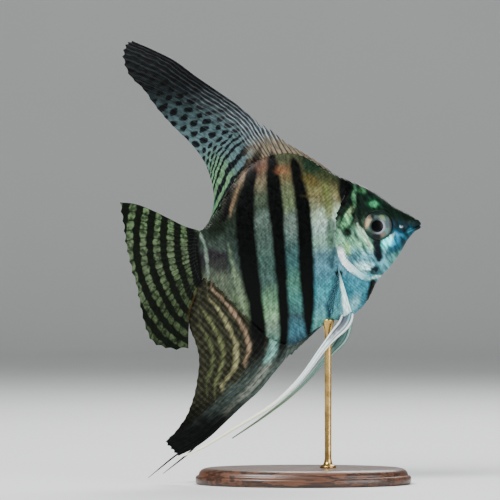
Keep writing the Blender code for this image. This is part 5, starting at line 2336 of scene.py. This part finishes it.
@dataclass(frozen=True)
class Stand:
    """The oval base with its moulded edge, and the rod that rises to the belly."""

    base_profile: Points = (  # inset from the oval and height, in millimetres
        (1.2, 0), (0.3, 0.3), (0, 0.9), (0, 2.5), (0.25, 3.0), (0.9, 3.3), (1.15, 3.5), (1.2, 3.9),
        (1.5, 4.6), (2.2, 5.3), (3.1, 5.75), (4.2, 6.0),
    )
    top_rings: int = 8
    top_from: float = 7.0  # inset of the top's first ring
    top_left: float = 0.5  # what its last ring leaves open, to each side of the middle
    rod_profile: Points = (  # radius and height, in millimetres
        (1.25, 4), (2.6, 5.9), (3.0, 6.05), (3.05, 6.5), (2.8, 6.85), (2.0, 7.15), (1.65, 7.6), (1.45, 8.4),
        (1.25, 9.4), (1.25, 30), (1.25, 54.2), (1.3, 55.6), (1.5, 57.0), (1.85, 58.4), (2.15, 59.8),
        (2.28, 60.7), (2.26, 61.0), (2.1, 61.05),
    )
    spokes: int = 128

    def base(self, finish: Material) -> Object:
        """Builds the oval base.

        Args:
            finish: The base's material.

        Returns:
            The finished piece.
        """
        low, high = (np.array(corner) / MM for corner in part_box("stand_base"))
        (mid_x, mid_y, _), (half_x, half_y, _) = (high + low) / 2, (high - low) / 2
        last = min(half_x, half_y) - self.top_left
        insets = np.linspace(self.top_from, last, self.top_rings)
        top = [(inset, self.base_profile[-1][1]) for inset in insets]
        rings = []
        for inset, height in [*self.base_profile, *top]:
            inset_x = inset * half_x / half_y if inset >= self.top_from else inset
            rings.append((mid_x, mid_y, half_x - inset_x, half_y - inset, low[2] + height))
        return self.closed("stand_oval", rings, self.spokes, finish, "wood", "stand_base")

    def rod(self, finish: Material) -> Object:
        """Builds the rod with its collar and the cup that holds the belly.

        Args:
            finish: The rod's material.

        Returns:
            The finished piece.
        """
        low, high = (np.array(corner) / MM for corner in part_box("stand_rod"))
        x, y, _ = (low + high) / 2
        rings = [(x, y, radius, radius, height) for radius, height in self.rod_profile]
        return self.closed("stand_pin", rings, self.spokes // 2, finish, "brass", "stand_rod")

    def closed(
        self, name: str, rings: Sequence[tuple[float, ...]], spokes: int, finish: Material, slot: str,
        node: str,
    ) -> Object:
        """Closes a run of rings at both ends and dresses the piece.

        Args:
            name: The piece's name.
            rings: Each ring's middle in x and y, its half sizes in x and y, and its height, in millimetres.
            spokes: How many points a ring has.
            finish: The piece's material.
            slot: The material slot that it belongs to.
            node: The frame's node that it stands for.

        Returns:
            The finished piece.
        """
        turn = np.linspace(0, math.tau, spokes, endpoint=False)
        grid = np.array([
            np.column_stack([x + wide * np.cos(turn), y + deep * np.sin(turn), np.full_like(turn, height)])
            for x, y, wide, deep, height in rings
        ]) * MM
        return hand_over(tube(name, grid, np.stack([grid[0].mean(0), grid[-1].mean(0)])), finish, slot, node)


# ---- the studio


@dataclass(frozen=True)
class Studio:
    """A pale sweep of floor, soft lights and the camera."""

    eye_level: float = 0.0868
    aim: float = -0.0198
    distance: float = 1.4
    width: float = 0.1855  # what the view takes in, at the fish
    sensor: float = 36.0
    lamps: tuple[tuple[str, Triple, float, float], ...] = (  # name, place, size, watts
        ("key", (-0.5, -0.65, 0.85), 0.5, 22),
        ("fill", (0.75, -0.7, 0.35), 0.7, 9),
        ("back", (0.15, 0.55, 0.7), 0.5, 8),
    )
    lamps_aim: Triple = (0, 0, 0.09)
    floor_reach: float = 3.0
    sweep_from: float = 1.7
    sweep_radius: float = 0.6
    backdrop: float = 2.5  # its height
    sky: str = "dfe3e4"
    sky_strength: float = 0.3

    def build(self) -> None:
        """Builds the floor, the lights and the camera."""
        self.floor()
        for lamp in self.lamps:
            self.light(*lamp)
        world = bpy.data.worlds.new("studio")
        bpy.context.scene.world = world
        world.use_nodes = True
        shade = world.node_tree.nodes["Background"]
        shade.inputs["Color"].default_value = colour(self.sky)
        shade.inputs["Strength"].default_value = self.sky_strength
        view = bpy.data.cameras.new("view")
        view.sensor_width = self.sensor
        view.lens = self.sensor * self.distance / self.width
        view.clip_start = 0.01
        view.clip_end = 20
        camera = new_object("view", view)
        camera.location = (self.aim, -self.distance, self.eye_level)
        camera.rotation_euler = (math.pi / 2, 0, 0)
        bpy.context.scene.camera = camera

    def floor(self) -> None:
        """Builds a floor that sweeps up behind into a backdrop."""
        bend, radius, reach = self.sweep_from, self.sweep_radius, self.floor_reach
        profile = [(-reach, 0.0), (-1.0, 0.0), (0.0, 0.0), (bend, 0.0)]
        for turn in np.linspace(0, math.pi / 2, 14)[1:]:
            profile.append((bend + radius * math.sin(turn), radius - radius * math.cos(turn)))
        profile.append((bend + radius, self.backdrop))
        across = (-reach, -1, 0, 1, reach)
        mesh = bpy.data.meshes.new("floor")
        faces = grid_faces(len(profile), len(across), wraps=False)
        mesh.from_pydata([(x, y, z) for y, z in profile for x in across], [], faces)
        mesh.shade_smooth()
        paper, pen = new_material("pale_paper", Roughness=0.9)
        pen.give(Base_Color=pen.mix(pen.noise(pen.place(), 6), "d6d8d7", "dcdedd"))
        mesh.materials.append(paper)
        floor = new_object("floor", mesh)

    def light(self, name: str, place: Triple, size: float, power: float) -> None:
        """Adds a soft square light that faces the fish.

        Args:
            name: The light's name.
            place: Where it hangs.
            size: The length of its side.
            power: Its watts.
        """
        lamp = bpy.data.lights.new(name, "AREA")
        lamp.energy = power
        lamp.size = size
        made = new_object(name, lamp)
        made.location = place
        made.rotation_euler = (Vector(self.lamps_aim) - Vector(place)).to_track_quat("-Z", "Y").to_euler()


# ---- the model


def main() -> None:
    """Builds the fish, its stand and the studio in order."""
    logging.basicConfig(level=logging.INFO, format="%(message)s")
    fish = FishFrame()
    markings = Markings(fish)
    places, bars = markings.frame_group(), markings.bar_group()
    flesh = Flesh(bars, places).group()

    body = Body(fish)
    body.build(SkinFinish(flesh).build())
    ScaleCoat(body).build(ScaleFinish(flesh).build())

    fins = Fins(body)
    fins.dorsal(DorsalFinish(bars, places).build())
    fins.anal(AnalFinish(bars, places).build())
    fins.tail(TailFinish(bars, places).build())
    near = FeelerFinish().build()
    far = FeelerFinish(
        "grey_feeler", tip="56654a", middle="5d7c76", root="4f7a7a", groove="263c3c", strand="2f4a4a",
        edge="8fb0a6",
    ).build()
    for (side, path), finish in zip(fins.pelvic_paths, (near, far)):
        fins.pelvic(side, path, finish)
    clear = PectoralFinish(bars, places).build()
    wet = EyeFinish().build()
    for side in Side:
        fins.pectoral(side, clear)
        Eye(body, side).build(wet)

    stand = Stand()
    stand.base(WoodFinish().build())
    stand.rod(BrassFinish().build())
    Studio().build()


if __name__ == "__main__":
    main()
